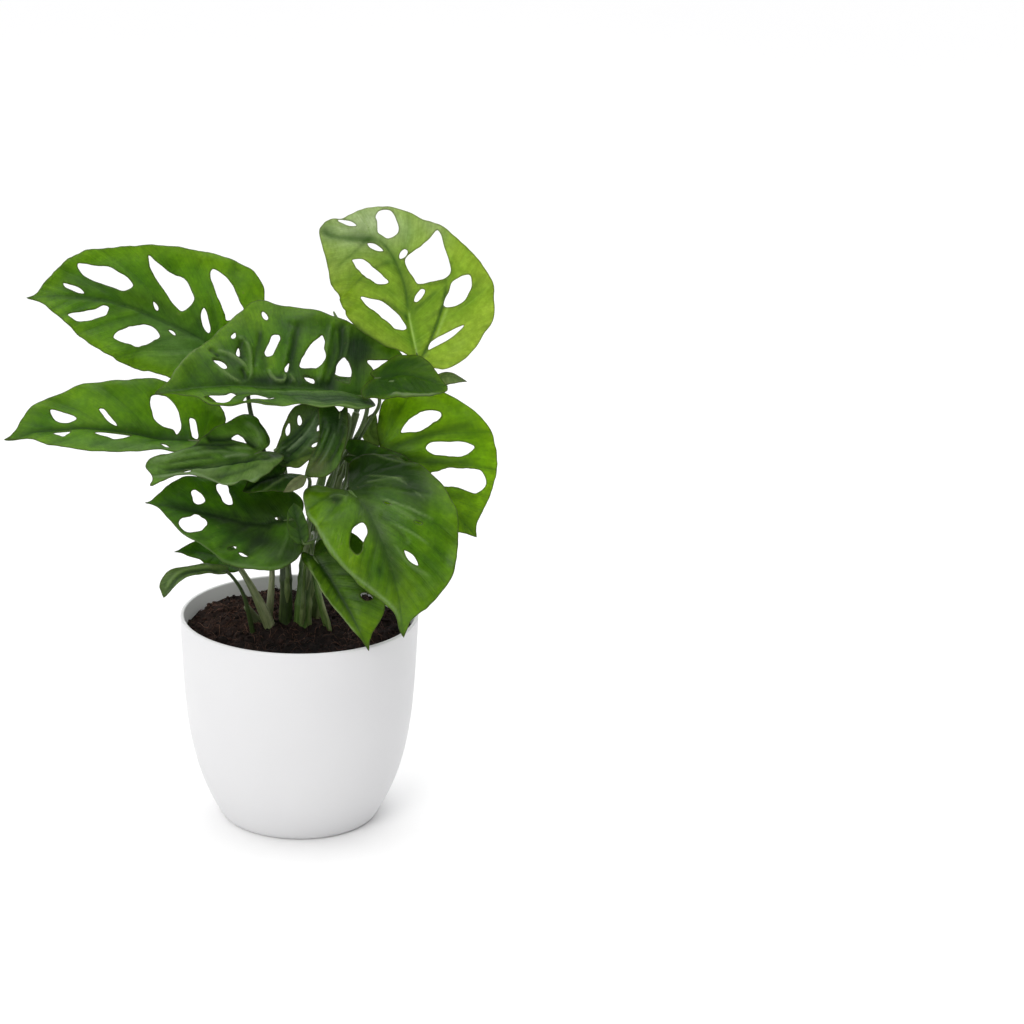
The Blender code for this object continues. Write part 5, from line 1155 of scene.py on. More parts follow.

# grey-green colour of a painted sheen
GREY_GREEN = (.06, .115, .045)
# drawn lines and blobs paint light and shade onto the blades: a line's tone gives pale veins and painted glints, sheen
# streaks and rim highlights where positive, and painted shade in creases where negative; a blob's tone is painted light
# where positive and painted shade where negative, and its last number a painted sheen
LOOKS = {
    'leaf_upper_left': dict(MID, slot='leaf', midzone=.35,
        lines=[([(12, 0), (36, 1), (63, 1), (80, 1), (108, 1)], 1.3, -.5, -.9), ([(34, -1), (48, -12), (58, -30)], 3.5, -.2, -.22),
               ([(63, 1), (78, 10), (92, 12)], 2.5, -.2, -.3), ([(22, 0), (34, 9), (52, 28)], 2.0, -.2, -.3)],
        blobs=[(26, 13, 30, 14, 0, .55), (52, -6, 22, 5, -.45, 0), (20, -10, 9, 9, -.4, 0), (30, -44, 20, 7, .35, 0), (86, -8, 20, 5, -.3, 0), (6, -35, 12, 14, .2, 0)]),
    'leaf_left': dict(MID, slot='leaf', midzone=.45,
        lines=[([(0, 0), (26, 0), (54, 0), (84, 0), (105, 0)], 1.4, -.6, -.8), ([(12, -2), (21, -9), (33, -30)], 2.5, -.3, -.4)],
        blobs=[(38, 14, 46, 5, 0, .5), (36, -3, 26, 5, -.4, 0), (12, -26, 14, 10, .3, 0), (66, -22, 20, 8, .25, 0), (62, -5, 12, 5, .45, .2)]),
    'leaf_centre': dict(MID, slot='leaf_dark', dark=(.05, .14, .003), light=(.1, .24, .005), sheen_colour=GREY_GREEN, puff=.8, shadow=(.012, .04, .008),
        lines=[([(18, -46), (18, -30), (21, -14), (24, 2)], 4.6, -2.4, -1), ([(20, -42), (19, -27), (22, -14), (25, -3)], 1.3, 1.2, .75),
               ([(14, -44), (14, -30), (18, -12)], 1.3, 1.8, .5), ([(23, -44), (25, -28), (28, -12), (29, -2)], 1.2, 1.6, .3),
               ([(40, -44), (42, -28), (45, -14), (47, -4)], 2.6, -1.6, -.7), ([(43, -40), (46, -26), (49, -14)], 1.2, .8, .35),
               ([(60, -36), (63, -24), (66, -12)], 1.6, -1.0, -.5),
               ([(87, -23), (81, -22), (76, -19), (72, -15), (69, -9)], 1.1, 1.4, .85), ([(73, -33), (69, -29), (67, -22), (67, -13), (68, -7), (71, -3)], 1.1, 1.6, .6),
               ([(87, -15), (84, -10), (79, -5), (74, -2)], 1.0, 1.2, .8), ([(58, -12), (56, -7), (53, -4), (49, -4), (48, -9)], 1.0, 1.5, .9),
               ([(46, -9), (43, -3)], 1.0, 1.0, .7), ([(72, -12), (70, -4)], 2.2, -2.0, -.9), ([(89, -26), (87, -23), (84, -19)], 1.8, -1.6, -.9),
               ([(70, -31), (72, -24), (71, -17)], 2.0, -1.5, -.6), ([(62, -40), (60, -24), (58, -8)], 2.5, -.8, -.4), ([(45, -44), (44, -28), (46, -16)], 2.2, -.6, -.45),
               ([(123, -2), (114, -8), (103, -19), (92, -30), (85, -36), (78, -43), (70, -49)], 1.0, 0, 1.0),
               ([(46, 26), (33, 27), (20, 28), (7, 25)], 1.0, 0, 1.0), ([(5, 3), (30, 5), (56, 6), (72, 8)], 1.2, .5, .3),
               ([(99, 15), (95, 23), (88, 26), (76, 26), (64, 26), (54, 27)], 1.6, 0, -.9), ([(2, 12), (20, 14), (42, 15)], 1.6, -.7, -.5),
               ([(6, 20), (24, 22), (40, 21)], 1.4, .5, .4), ([(4, 8), (30, 10), (56, 9)], 1.4, -.8, -.6), ([(60, 12), (76, 12), (96, 8)], 1.4, -.7, -.6)],
        blobs=[(16, 15, 40, 13, 0, .95), (49, -4, 9, 4, -.95, 0), (28, -3, 10, 4, -.9, 0), (62, -4, 8, 4, -.8, 0), (80, -4, 14, 5, -.6, 0), (71, -25, 5, 9, -.55, 0),
               (77, -15, 7, 6, -.3, .5), (62, -44, 12, 9, .45, 0), (100, -12, 14, 6, -.2, 0), (5, -28, 11, 16, -.65, 0), (36, -42, 9, 10, -.45, 0), (56, -16, 3, 5, .5, 0),
               (86, -30, 10, 8, .2, 0), (12, -27, 9, 12, -.5, 0), (38, -14, 4, 9, -.5, 0), (4, -32, 10, 8, -.3, 0)]),
    'leaf_top_right': dict(BRIGHT, slot='leaf_bright', dark=(.2, .35, .022), light=(.3, .45, .045), yellow=(.38, .49, .06), glow=(.5, .7, .08),
        zone=.36, midzone=.3, rimcol=(.12, .13, .04), rib=.15, sheen_colour=(.46, .58, .32), shadow=(.05, .13, .01), pale=(.5, .68, .22),
        lines=[([(78, 0), (64, 0), (54, 0), (40, 0), (30, 0)], 1.1, -.3, -.75), ([(31, 0), (18, 0), (2, 0)], .9, .3, .8), ([(31, 1.6), (18, 1.4), (3, 1.2)], .9, 0, -.5),
               ([(38, -24), (31, -22), (20, -16), (9, -8), (1, -1)], 1.3, -1.4, -.95), ([(37, -27), (30, -25), (19, -18), (8, -10)], 1.2, .5, .45),
               ([(116, 5), (106, 7), (94, 6), (79, 1)], 2.4, -.8, -.75), ([(45, 16), (30, 4), (25, 0)], 1.8, -.5, -.6),
               ([(37, 35), (22, 24), (11, 14), (2, 3)], 1.4, -.7, -.8), ([(30, 34), (20, 25), (9, 15)], 1.1, .4, .5),
               ([(43, -11), (40, -19), (41, -25), (46, -30)], 1.5, -.6, -.45), ([(30, -3), (34, -12), (36, -17)], 1.2, -.4, -.5),
               ([(62, 1), (68, 14), (70, 30)], 2.0, -.4, -.4), ([(84, 1), (90, 16), (96, 26)], 2.0, -.5, -.45), ([(22, -8), (30, -34), (33, -46)], 1.6, -.3, -.3)],
        blobs=[(96, -2, 20, 16, 0, .8), (66, -30, 10, 8, 0, .6), (80, -12, 16, 10, 0, .6), (44, -2, 18, 4, -.3, 0), (88, 4, 12, 5, -.45, 0), (10, -30, 12, 14, .4, 0), (112, 6, 6, 6, -.3, .3),
               (98, 22, 12, 12, .3, .2)]),
    'leaf_right': dict(MID, slot='leaf_bright', dark=(.12, .26, .002), light=(.21, .42, .003), yellow=(.29, .49, .005), glow=(.36, .6, .004), zone=.38, midzone=.4,
        lines=[([(2, 2), (11, 9), (17, 18), (23, 31), (30, 44)], 2.6, -.6, -.5), ([(6, 1), (18, 3), (31, 13), (45, 28)], 3.4, -.7, -.6),
               ([(14, -1), (33, 0), (44, 1), (58, 12)], 3.2, -.6, -.55), ([(-10, 17), (-5, 9), (0, 1)], 3.0, 0, -.35)],
        blobs=[(4, 38, 14, 8, .5, 0), (54, 2, 14, 8, .4, 0), (-4, 22, 8, 10, -.25, 0), (30, 6, 16, 6, -.35, 0)]),
    'leaf_front_right': dict(MID, slot='leaf', rim=.5, zone=.34, midzone=.15, rough=.34, gloss=.3, shadow=(.018, .056, .006), pale=(.24, .36, .13), sheen_colour=(.06, .125, .025),
        lines=[([(-19, -18), (-17, -20), (-3, -28), (18, -31), (45, -25), (66, -12), (77, -4), (86, -1)], 1.0, 0, 1.0),
               ([(8, 1), (24, -1), (35, -1), (46, 1), (58, 1), (70, 0)], 5.0, -1.1, -.5), ([(17, 10), (28, 22), (37, 31)], .8, .3, .7),
               ([(20, 11), (28, 17), (36, 23)], 1.2, .5, .4), ([(29, 7), (40, 17), (49, 24)], .8, .3, .6), ([(44, 6), (56, 11), (65, 20)], 1.1, .5, .45),
               ([(-24, 22), (-8, 30), (6, 38)], .9, .4, .45), ([(-4, 14), (10, 24), (26, 31)], .8, .3, .5),
               ([(2, 10), (8, 20), (14, 29)], 1.3, .7, .4), ([(-6, 12), (-2, 26), (6, 36)], 2.2, -.8, -.5), ([(8, 12), (16, 24), (24, 38)], 2.0, -.8, -.5),
               ([(7, -8), (4, -5), (0, -8), (-1, -13)], 1.0, .7, .45), ([(22, -4), (28, -14), (38, -18)], 1.4, -.5, -.5),
               ([(40, -4), (52, -13), (60, -12)], 1.4, -.4, -.35), ([(24, 4), (34, 10), (46, 14)], 1.8, -.8, -.5), ([(-18, 3), (-19, 14), (-15, 25), (-6, 36)], .8, 0, .5)],
        blobs=[(-4, 18, 13, 16, -.95, 0), (12, 32, 15, 12, -.9, 0), (-18, 30, 13, 14, -.85, 0), (26, 28, 10, 9, -.5, 0), (-14, 4, 6, 8, -.8, 0), (3, 6, 12, 8, -.8, 0), (2, -11, 4, 3.5, -.85, 0), (54, -7, 3.2, 1.7, -.8, 0), (30, 1, 22, 7, 0, .55),
               (54, 3, 20, 5, 0, .35), (17, -18, 14, 8, -.3, 0), (46, -20, 12, 7, .6, 0), (72, 4, 14, 14, .6, 0), (30, 36, 14, 8, .25, 0), (-4, -8, 10, 8, -.25, 0)]),
    'leaf_lower_left': dict(DEEP, slot='leaf_dark', rim=.5, zone=.35, midzone=.25, shadow=(.007, .024, .004), dark=(.03, .1, .002), light=(.085, .22, .004), pale=(.14, .23, .07),
        lines=[([(0, 0), (27, 0), (55, 0), (79, 0)], 3.6, -.8, -.65), ([(14, -1), (40, -1), (60, -1)], .7, .2, .5), ([(27, 1), (38, 11), (47, 24)], 2.6, -.6, -.5),
               ([(14, 1), (24, 12), (33, 25)], 3.4, -.9, -.7), ([(33, -1), (43, -11), (49, -19)], 2.2, -.5, -.5), ([(6, 4), (10, 16), (18, 28)], 1.2, .5, .4),
               ([(77, 11), (65, 21), (49, 29), (33, 32), (20, 33), (10, 30)], 1.2, 0, .75), ([(18, 4), (22, 14), (30, 22)], 1.0, .4, .3)],
        blobs=[(14, -8, 18, 8, -.8, 0), (30, 8, 10, 8, -.45, 0), (48, 22, 12, 7, .6, 0), (10, 26, 14, 11, -.85, 0), (46, 3, 12, 5, -.6, 0), (70, 12, 10, 5, .35, 0), (62, -14, 10, 7, .35, 0), (22, 14, 7, 6, -.7, 0)]),
    'leaf_lower_left_back': dict(DEEP, slot='leaf_dark', zone=.3),
    'leaf_curled': dict(DEEP, slot='leaf_dark', dark=(.05, .13, .01), light=(.13, .27, .03), rim=.5, zone=.2, midzone=.25, sheen_colour=(.19, .3, .09), shadow=(.01, .035, .008), pale=(.25, .35, .17),
        lines=[([(67, -9), (49, -7), (28, -7), (8, -1)], 1.2, .8, .35), ([(63, -3), (40, 1), (20, 3), (2, 3)], 1.8, -1.6, -.85),
               ([(60, -12), (41, -13), (26, -12), (10, -9)], 1.5, -1.2, -.8), ([(31, -17), (20, -15), (10, -13), (5, -8), (1, -1)], 2.6, -2.0, -1),
               ([(58, -6), (44, -5), (30, -4)], 1.3, -.9, -.7), ([(20, 2), (8, 6), (0, 9)], 2.2, -1.2, -.8), ([(52, 1), (36, 5), (24, 6)], 1.2, .5, .5),
               ([(24, -3), (16, -2), (8, 0)], 1.0, .9, .8), ([(20, -8), (12, -6), (4, -3)], 1.0, .7, .5), ([(2, -20), (-2, -14), (-2, -5)], 1.3, 1.0, .55),
               ([(-6, -20), (-7, -13), (-6, -2)], 1.4, -1.2, -.7), ([(69, 1), (53, 3), (43, 8), (35, 18), (29, 21), (20, 24), (13, 21)], 1.1, .3, .85),
               ([(34, -10), (22, -8), (14, -7)], .9, .5, -.4), ([(36, 12), (24, 13), (8, 12)], 2.0, -.9, -.55), ([(66, -10), (50, -10), (34, -11)], 1.0, .4, .5)],
        blobs=[(46, 8, 14, 5, 0, .8), (18, 19, 14, 5, 0, .7), (36, 13, 9, 5, -.4, 0), (52, -4, 13, 4, .55, .4), (6, 13, 10, 8, .25, .5), (22, -10, 14, 3, -.5, 0), (38, -9, 9, 4, -.3, 0), (2, -21, 10, 5, .6, 0), (58, -8, 12, 5, .3, .4), (20, -20, 10, 4, .2, 0), (-4, 0, 5, 5, .2, .3), (-3, 8, 6, 6, -.8, 0), (18, 14, 5, 5, .4, .3)]),
    'leaf_centre_back': dict(DEEP, slot='leaf_dark', zone=.15, dark=(.03, .075, .012), light=(.07, .14, .02), yellow=(.13, .19, .03), sheen_colour=(.09, .16, .07), pale=(.2, .28, .15),
        lines=[([(4, -2), (14, -5), (26, -4), (36, 0)], 1.0, 1.0, .6), ([(7, -5), (13, -6), (20, -5)], .7, .6, .9), ([(2, -4), (10, -4), (22, -3)], 1.0, -.9, -1),
               ([(6, -8), (14, -8), (22, -7)], 1.0, -.9, -1), ([(6, 1), (14, -1), (30, 1)], 1.4, -.8, -.8), ([(4, -12), (16, -12), (27, -9)], 1.1, .6, .3),
               ([(1, -10), (12, -13), (20, -16)], 1.3, -.9, -.8)],
        blobs=[(22, -6, 12, 4, 0, .7), (10, 8, 14, 6, .6, 0), (6, -6, 6, 4, -.8, 0), (12, -15, 9, 3, .9, 0), (28, 4, 8, 6, .3, 0)]),
    'leaf_hanging': dict(DEEP, slot='leaf_dark', zone=.12, light=(.05, .13, .008), sheen_colour=(.12, .15, .04), pale=(.13, .21, .09),
        lines=[([(9, -5), (23, -5), (36, -2)], 1.2, .9, .5), ([(11, -1), (23, 0), (34, 1)], 1.1, .9, .6), ([(4, -9), (20, -7), (34, -4)], 1.6, -1.0, -.8),
               ([(6, -3), (20, -3), (36, -1)], 1.2, -.8, -.7), ([(6, 3), (20, 4), (30, 4)], 1.6, -.8, -.8)],
        blobs=[(6, -2, 9, 9, -.8, 0), (34, 1, 8, 6, 0, .85), (4, 5, 8, 4, 0, .4)]),
    'leaf_under_curled': dict(DEEP, slot='leaf_dark', rim=.8, zone=.2,
        lines=[([(29, 3), (18, 8), (8, 6), (0, 4)], 1.1, .5, .6), ([(26, 0), (12, 0), (2, 0)], 2.0, -.8, -.7)], blobs=[(4, 8, 12, 8, -.8, 0)]),
    'leaf_right_small': dict(MID, slot='leaf_dark', dark=(.024, .075, .001), light=(.045, .125, .002), under=(.07, .14, .04), gloss=.14, glow=(.16, .36, .004), zone=.25, pale=(.28, .36, .2),
        lines=[([(1, 0), (16, 0), (35, 0)], 1.6, -.5, -.5), ([(10, -6), (14, -8)], .9, .4, 1.0), ([(14, -21), (26, -21), (36, -17), (43, -10)], 1.5, .8, .6),
               ([(6, -4), (18, -14), (32, -16)], 2.2, -.6, -.5)],
        blobs=[(2, -14, 10, 9, -.7, 0), (12, 8, 8, 4, -.3, 0), (26, 4, 12, 6, .2, 0)]),
    'leaf_right_hidden': dict(DEEP, slot='leaf_dark', zone=.2),
    'leaf_bottom_right': dict(DEEP, slot='leaf_dark', dark=(.04, .11, .002), light=(.11, .24, .004), yellow=(.18, .34, .005), rim=.7, zone=.3, pale=(.28, .4, .14),
        lines=[([(0, -4), (9, -7), (27, -8), (43, -5), (54, -2)], .9, 0, 1.0), ([(2, 1), (20, 0), (40, 0), (54, 0)], 1.6, -.6, -.7)],
        blobs=[(36.5, 12.5, 5, 5, -.6, 0), (8, 6, 12, 8, -.6, 0), (26, 12, 8, 4, -.5, 0), (52, 4, 12, 10, .8, 0), (40, 0, 8, 5, .3, 0)]),
    'leaf_old_flap': dict(OLD, slot='leaf_old', rimline=.2, dark=(.14, .18, .07), light=(.23, .28, .11), vein=(.1, .13, .05), yellow=(.26, .28, .12), under=(.24, .28, .12), glow=(.3, .34, .12)),
    'leaf_right_tiny': dict(PALE, slot='leaf_pale', rimline=.5),
    'leaf_right_pale': dict(PALE, slot='leaf_pale', rimline=.3, light=(.2, .34, .08),
        lines=[([(2, 1), (9, 2), (17, 1)], .9, .3, .8), ([(4, 4), (10, 6), (16, 5)], 1.0, 0, .8)]),
    'leaf_small_upright': dict(DEEP, slot='leaf_pale', rimline=.2, dark=(.024, .07, .006), light=(.042, .105, .01), ribcol=(.03, .07, .01)),
    'leaf_behind_centre': dict(MID, slot='leaf_pale', dark=(.08, .16, .03), light=(.14, .23, .07), rimline=.2),
    'leaf_bottom_left': dict(PALE, slot='leaf_pale', rimline=.3, dark=(.04, .1, .02), light=(.09, .17, .04),
        lines=[([(44, 0), (25, 0), (4, 0)], 1.0, -.4, -.9), ([(43, -2), (25, -2), (8, -2)], 1.2, .4, .8), ([(43, 2), (36, 2.5), (18, 4)], 1.0, 0, .6)],
        blobs=[(20, -3, 16, 2.5, -.3, 0), (38, 3, 8, 3, 0, .5)]),
}

# ---- pot
profile = smooth_line([(44.0, 0.0), (45.6, .25), (46.9, 1.2)], 8)[:-1].tolist()
profile += smooth_line([(46.9, 1.2)] + POT_PROFILE[2:-1] + [(70.0, 123.6)], 7).tolist()
profile += [(69.98, 124.2), (69.8, 124.62), (69.5, 124.88), (69.1, 125.0), (68.6, 125.0), (68.2, 124.88), (67.9, 124.6), (67.72, 124.2)]
inner = [(r - POT_WALL, z) for r, z in smooth_line(POT_PROFILE[4:-1], 6)[::-1] if z > POT_FLOOR + 6]
profile = [(0, .6), (40.0, .6), (42.5, .5), (43.3, .1)] + profile + inner + [(47.6, POT_FLOOR + 1.4), (45.0, POT_FLOOR)] + [(0, POT_FLOOR)]
verts, faces = lathe(profile, 192)
pot = piece('visual_pot', verts, faces, pot_material(), replaces='pot', slot='pot')

# ---- soil
rng = np.random.default_rng(41)
PLANT_FEET = [(-8, 2), (2, -4), (9, 11), (-18, 2), (16, -9), (-18, -8), (-28, -12), (-25, -3)]
clod = [Waves(60 + i, w, 2, 14) for i, w in enumerate((17, 8, 3.6, 1.8))]


def ground(x, y):
    """soil surface with clods and a low collar of peat around each stalk"""
    z = soil_height(x, y)
    z = z + 1.3 * clod[0](x, y) + .95 * clod[1](x, y) + .6 * np.abs(clod[2](x, y)) + .38 * clod[3](x, y)
    for fx, fy in PLANT_FEET:
        z = z + 2.0 * np.exp(-((x - fx) ** 2 + (y - fy) ** 2) / 26.0)
    return z


R_SOIL = wall_radius(113) - .2
rings_r = np.concatenate([[0], np.arange(1.0, R_SOIL - .6, 1.05), [R_SOIL]])
pts = []
for i, rr in enumerate(rings_r):
    n = 1 if i == 0 else max(8, int(round(2 * pi * rr / 1.1)))
    if i == len(rings_r) - 1:
        n = 96
    ph = rng.uniform(0, 6) if i < len(rings_r) - 1 else 0
    for j in range(n):
        a = 2 * pi * j / n + ph
        k = rr + (rng.uniform(-.25, .25) if 0 < i < len(rings_r) - 1 else 0)
        pts.append((k * cos(a), k * sin(a)))
last = len(pts) - 96
flat, _, tris, _, _, _ = delaunay_2d_cdt([Vector(p) for p in pts], [(last + j, last + (j + 1) % 96) for j in range(96)], [], 0, 1e-6)
flat = np.array([tuple(v) for v in flat])
tris = np.array([tuple(t) for t in tris])
a, b, c = flat[tris[:, 0]], flat[tris[:, 1]], flat[tris[:, 2]]
area = (b[:, 0] - a[:, 0]) * (c[:, 1] - a[:, 1]) - (b[:, 1] - a[:, 1]) * (c[:, 0] - a[:, 0])
tris[area < 0] = tris[area < 0][:, ::-1]
tris = tris[np.abs(area) > 1e-6]
z = ground(flat[:, 0], flat[:, 1])
rad = np.hypot(flat[:, 0], flat[:, 1])
z = z - 1.8 * step01(R_SOIL - 5, R_SOIL, rad)
verts = np.column_stack([flat, z])
count = len(verts)
ring_idx = [int(np.argmin(np.hypot(flat[:, 0] - R_SOIL * cos(2 * pi * j / 96), flat[:, 1] - R_SOIL * sin(2 * pi * j / 96)))) for j in range(96)]
faces = [tuple(t) for t in tris.tolist()]
levels = [100, 78, 61, 47, 34, 23, 14.5, SOIL_BOTTOM_Z]
rows = [ring_idx]
extra = []
for h in levels:
    rr = wall_radius(h) - .2
    rows.append([count + len(extra) + j for j in range(96)])
    extra += [(rr * cos(2 * pi * j / 96), rr * sin(2 * pi * j / 96), h) for j in range(96)]
for up, dn in zip(rows[:-1], rows[1:]):
    for j in range(96):
        k = (j + 1) % 96
        faces.append((up[j], dn[j], dn[k], up[k]))
centre = count + len(extra)
extra.append((0, 0, SOIL_BOTTOM_Z))
for j in range(96):
    faces.append((centre, rows[-1][(j + 1) % 96], rows[-1][j]))
verts = np.vstack([verts, extra])


def heaps(x, y):
    """share of warm, fibrous peat: high on the heaps at the back left"""
    return np.clip(1.1 * np.exp(-((x + 34) ** 2 + (y - 16) ** 2) / 1100) + .55 * np.exp(-((x - 38) ** 2 + (y + 16) ** 2) / 300)
                   + .4 * np.exp(-((x + 4) ** 2 + (y - 34) ** 2) / 400), 0, 1)


tone = .1 + .5 * heaps(verts[:, 0], verts[:, 1]) + .15 * clod[1](verts[:, 0], verts[:, 1])
soil = piece('visual_soil', verts, faces, soil_material('peat', (.004, .004, .004), (.011, .009, .0085), (.05, .026, .019)),
             {'tone': np.clip(tone, 0, 1)}, replaces='soil', slot='soil')


def chip(c, size, spin, seed):
    """one crumb of bark or peat: a lumpy flattened stone"""
    r = np.random.default_rng(seed)
    g = (1 + 5 ** .5) / 2
    v = unit(np.array([(-1, g, 0), (1, g, 0), (-1, -g, 0), (1, -g, 0), (0, -1, g), (0, 1, g), (0, -1, -g), (0, 1, -g),
                       (g, 0, -1), (g, 0, 1), (-g, 0, -1), (-g, 0, 1)], float))
    f = [(0, 11, 5), (0, 5, 1), (0, 1, 7), (0, 7, 10), (0, 10, 11), (1, 5, 9), (5, 11, 4), (11, 10, 2), (10, 7, 6), (7, 1, 8),
         (3, 9, 4), (3, 4, 2), (3, 2, 6), (3, 6, 8), (3, 8, 9), (4, 9, 5), (2, 4, 11), (6, 2, 10), (8, 6, 7), (9, 8, 1)]
    mids, out, vs = {}, [], list(map(tuple, v))

    def mid(i, j):
        k = (min(i, j), max(i, j))
        if k not in mids:
            mids[k] = len(vs)
            vs.append(tuple(unit((np.array(vs[i]) + np.array(vs[j])) / 2)))
        return mids[k]
    for i, j, k in f:
        a, b, c2 = mid(i, j), mid(j, k), mid(k, i)
        out += [(i, a, c2), (a, j, b), (c2, b, k), (a, b, c2)]
    v = np.array(vs)
    lump = Waves(seed, 1.3, 3, 6)
    v = v * (1 + .28 * lump(v[:, 0], v[:, 1], v[:, 2]) + r.uniform(-.1, .1, len(v)))[:, None]
    v = v * np.array(size)
    q, _ = np.linalg.qr(r.normal(size=(3, 3)))
    if np.linalg.det(q) < 0:
        q[:, 0] *= -1
    flatq = np.array([[cos(spin), -sin(spin), 0], [sin(spin), cos(spin), 0], [0, 0, 1]])
    tilt = flatq if r.random() < .5 else q
    return v @ tilt.T + np.array(c), out


def scatter(n, seed, edge):
    r = np.random.default_rng(seed)
    out = []
    while len(out) < n:
        x, y = r.uniform(-edge, edge, 2)
        if x * x + y * y > edge * edge:
            continue
        # thinner in the calm dark front, thicker on the heaps at the back left
        w = .35 + .65 * np.exp(-((x + 30) ** 2 + (y - 18) ** 2) / 1100) + .25 * np.exp(-((x - 35) ** 2 + (y + 15) ** 2) / 500)
        if r.random() < w:
            out.append((x, y))
    return out


parts = []
r = np.random.default_rng(7)
for i, (x, y) in enumerate(scatter(900, 11, R_SOIL - 3)):
    k = r.choice([1.0, 1.6, 2.6], p=[.62, .3, .08])
    size = np.array([r.uniform(.55, 1.2), r.uniform(.4, .8), r.uniform(.25, .55)]) * k
    v, f = chip((x, y, float(ground(x, y)) + .25 * size[2]), size, r.uniform(0, 6.3), 900 + i)
    parts.append((v, f, {'tone': r.choice([0, .15, .4, .8], p=[.3, .3, .25, .15]) * (.15 + .85 * float(heaps(x, y)))}))
verts, faces, fields = join(parts)
chips = piece('peat_crumbs', verts, faces, soil_material('crumbs', (.005, .004, .004), (.022, .014, .012), (.085, .04, .028)), fields, slot='soil')

parts = []
for i, (x, y) in enumerate(scatter(620, 23, R_SOIL - 5)):
    reach = r.uniform(3, 11)
    a = r.uniform(0, 2 * pi)
    bend = r.normal(0, .5)
    lift = r.uniform(.1, 1.6)
    line = []
    for k in range(6):
        u = k / 5
        aa = a + bend * u
        px, py = x + reach * (u - .5) * cos(aa), y + reach * (u - .5) * sin(aa)
        if px * px + py * py > (R_SOIL - 1.5) ** 2:
            f = (R_SOIL - 1.5) / np.hypot(px, py)
            px, py = px * f, py * f
        line.append((px, py, float(ground(px, py)) + .25 + lift * 4 * u * (1 - u) - .45 * (k in (0, 5))))
    w = r.uniform(.11, .26)
    v, f, al, ar, tot = stalk(line, lambda u, g: w * (1 - .5 * u), 5, 1.0)
    parts.append((v, f, {'tone': r.choice([.1, .45, .9], p=[.3, .4, .3]) * (.12 + .88 * float(heaps(x, y)))}))
verts, faces, fields = join(parts)
fibres = piece('peat_fibres', verts, faces, soil_material('fibres', (.01, .008, .007), (.07, .036, .026), (.24, .13, .09), .8), fields, slot='soil')

# ---- leaves
made = {}
for name, spec in LEAVES.items():
    look = LOOKS[name]
    spec = {**spec, **FINE.get(name, {})}
    length = Blade(spec).length
    big = float(np.clip(length / 100, .3, 1))
    step = 1.15 if length > 85 else 1.0 if length > 55 else .8 if length > 35 else .6
    seed = sum(ord(c) for c in name)
    verts, faces, att, st = leaf_mesh(name, spec, step, look)
    mat = leaf_material('tissue_' + name[5:], look, big, seed)
    made[name] = piece('fine_' + name, verts, faces, mat, att, st, replaces=name, slot=look['slot'])

# ---- stems and petioles
stalk_mat = stalk_material('stalk', (.1, .16, .035), (.045, .085, .018), (.34, .37, .18))
dark_stalk = stalk_material('stalk_dark', (.045, .08, .016), (.018, .034, .008), (.3, .36, .15))
sheath_stalk = stalk_material('stalk_sheath', (.1, .19, .03), (.032, .075, .01), (.42, .47, .22))
pale_stalk = stalk_material('stalk_pale', (.2, .24, .1), (.1, .13, .05), (.46, .47, .3))
STALK_MATS = {'stem_left': dark_stalk, 'stem_middle': sheath_stalk, 'petiole_left': pale_stalk, 'petiole_lower_left_back': pale_stalk,
              'petiole_bottom_left': dark_stalk, 'petiole_upper_left': dark_stalk, 'petiole_front_right': sheath_stalk}
STEM_RIDGES = {'stem_left': 5, 'stem_middle': 4, 'stem_right': 5}
for name, (points, radii) in STEMS.items():
    clasps = sorted(z for leaf, stem, z, an, via in PETIOLES.values() if stem == name)
    top = points[-1]
    low = (points[0][0], points[0][1], points[0][2] - 6)

    def radius(u, g, radii=radii, clasps=clasps, total=points[-1][2] - points[0][2]):
        r = radii[0] * (1 - u) + radii[1] * u
        h = 115 + g
        for c in clasps:
            r += .45 * np.exp(-((h - c + 2) / 2.2) ** 2)
        return r * (1 + .12 * np.exp(-g / 9))
    wav = Waves(len(name) * 7, 9, 2)

    def section(u, g, a, n=STEM_RIDGES[name], wav=wav):
        return 1 + .045 * cos(n * a + g * .01) + .03 * float(wav(g * .35, a * 2))
    v, f, al, ar, tot = stalk([low] + list(points), radius, 20, 1.4, section)
    # stem_left: dark with one thin pale edge that is painted light on its lit side; the others have a broad pale band
    # on one side, partly a sheath's pale margin and partly painted light on the lit side
    at, wide, base = {'stem_left': (pi + .3, .3, .0), 'stem_middle': (-.3, .45, .04), 'stem_right': (-.6, .6, .3)}[name]
    pale = base + .8 * np.exp(-(np.angle(np.exp(1j * (ar - at))) / wide) ** 2) * np.clip(1.2 - (al - 6) / 60, 0, 1)
    pale = np.clip(pale, 0, 1)
    piece('fine_' + name, v, f, STALK_MATS.get(name, stalk_mat), {'along': al, 'around': ar, 'pale': pale}, replaces=name, slot='stalk')

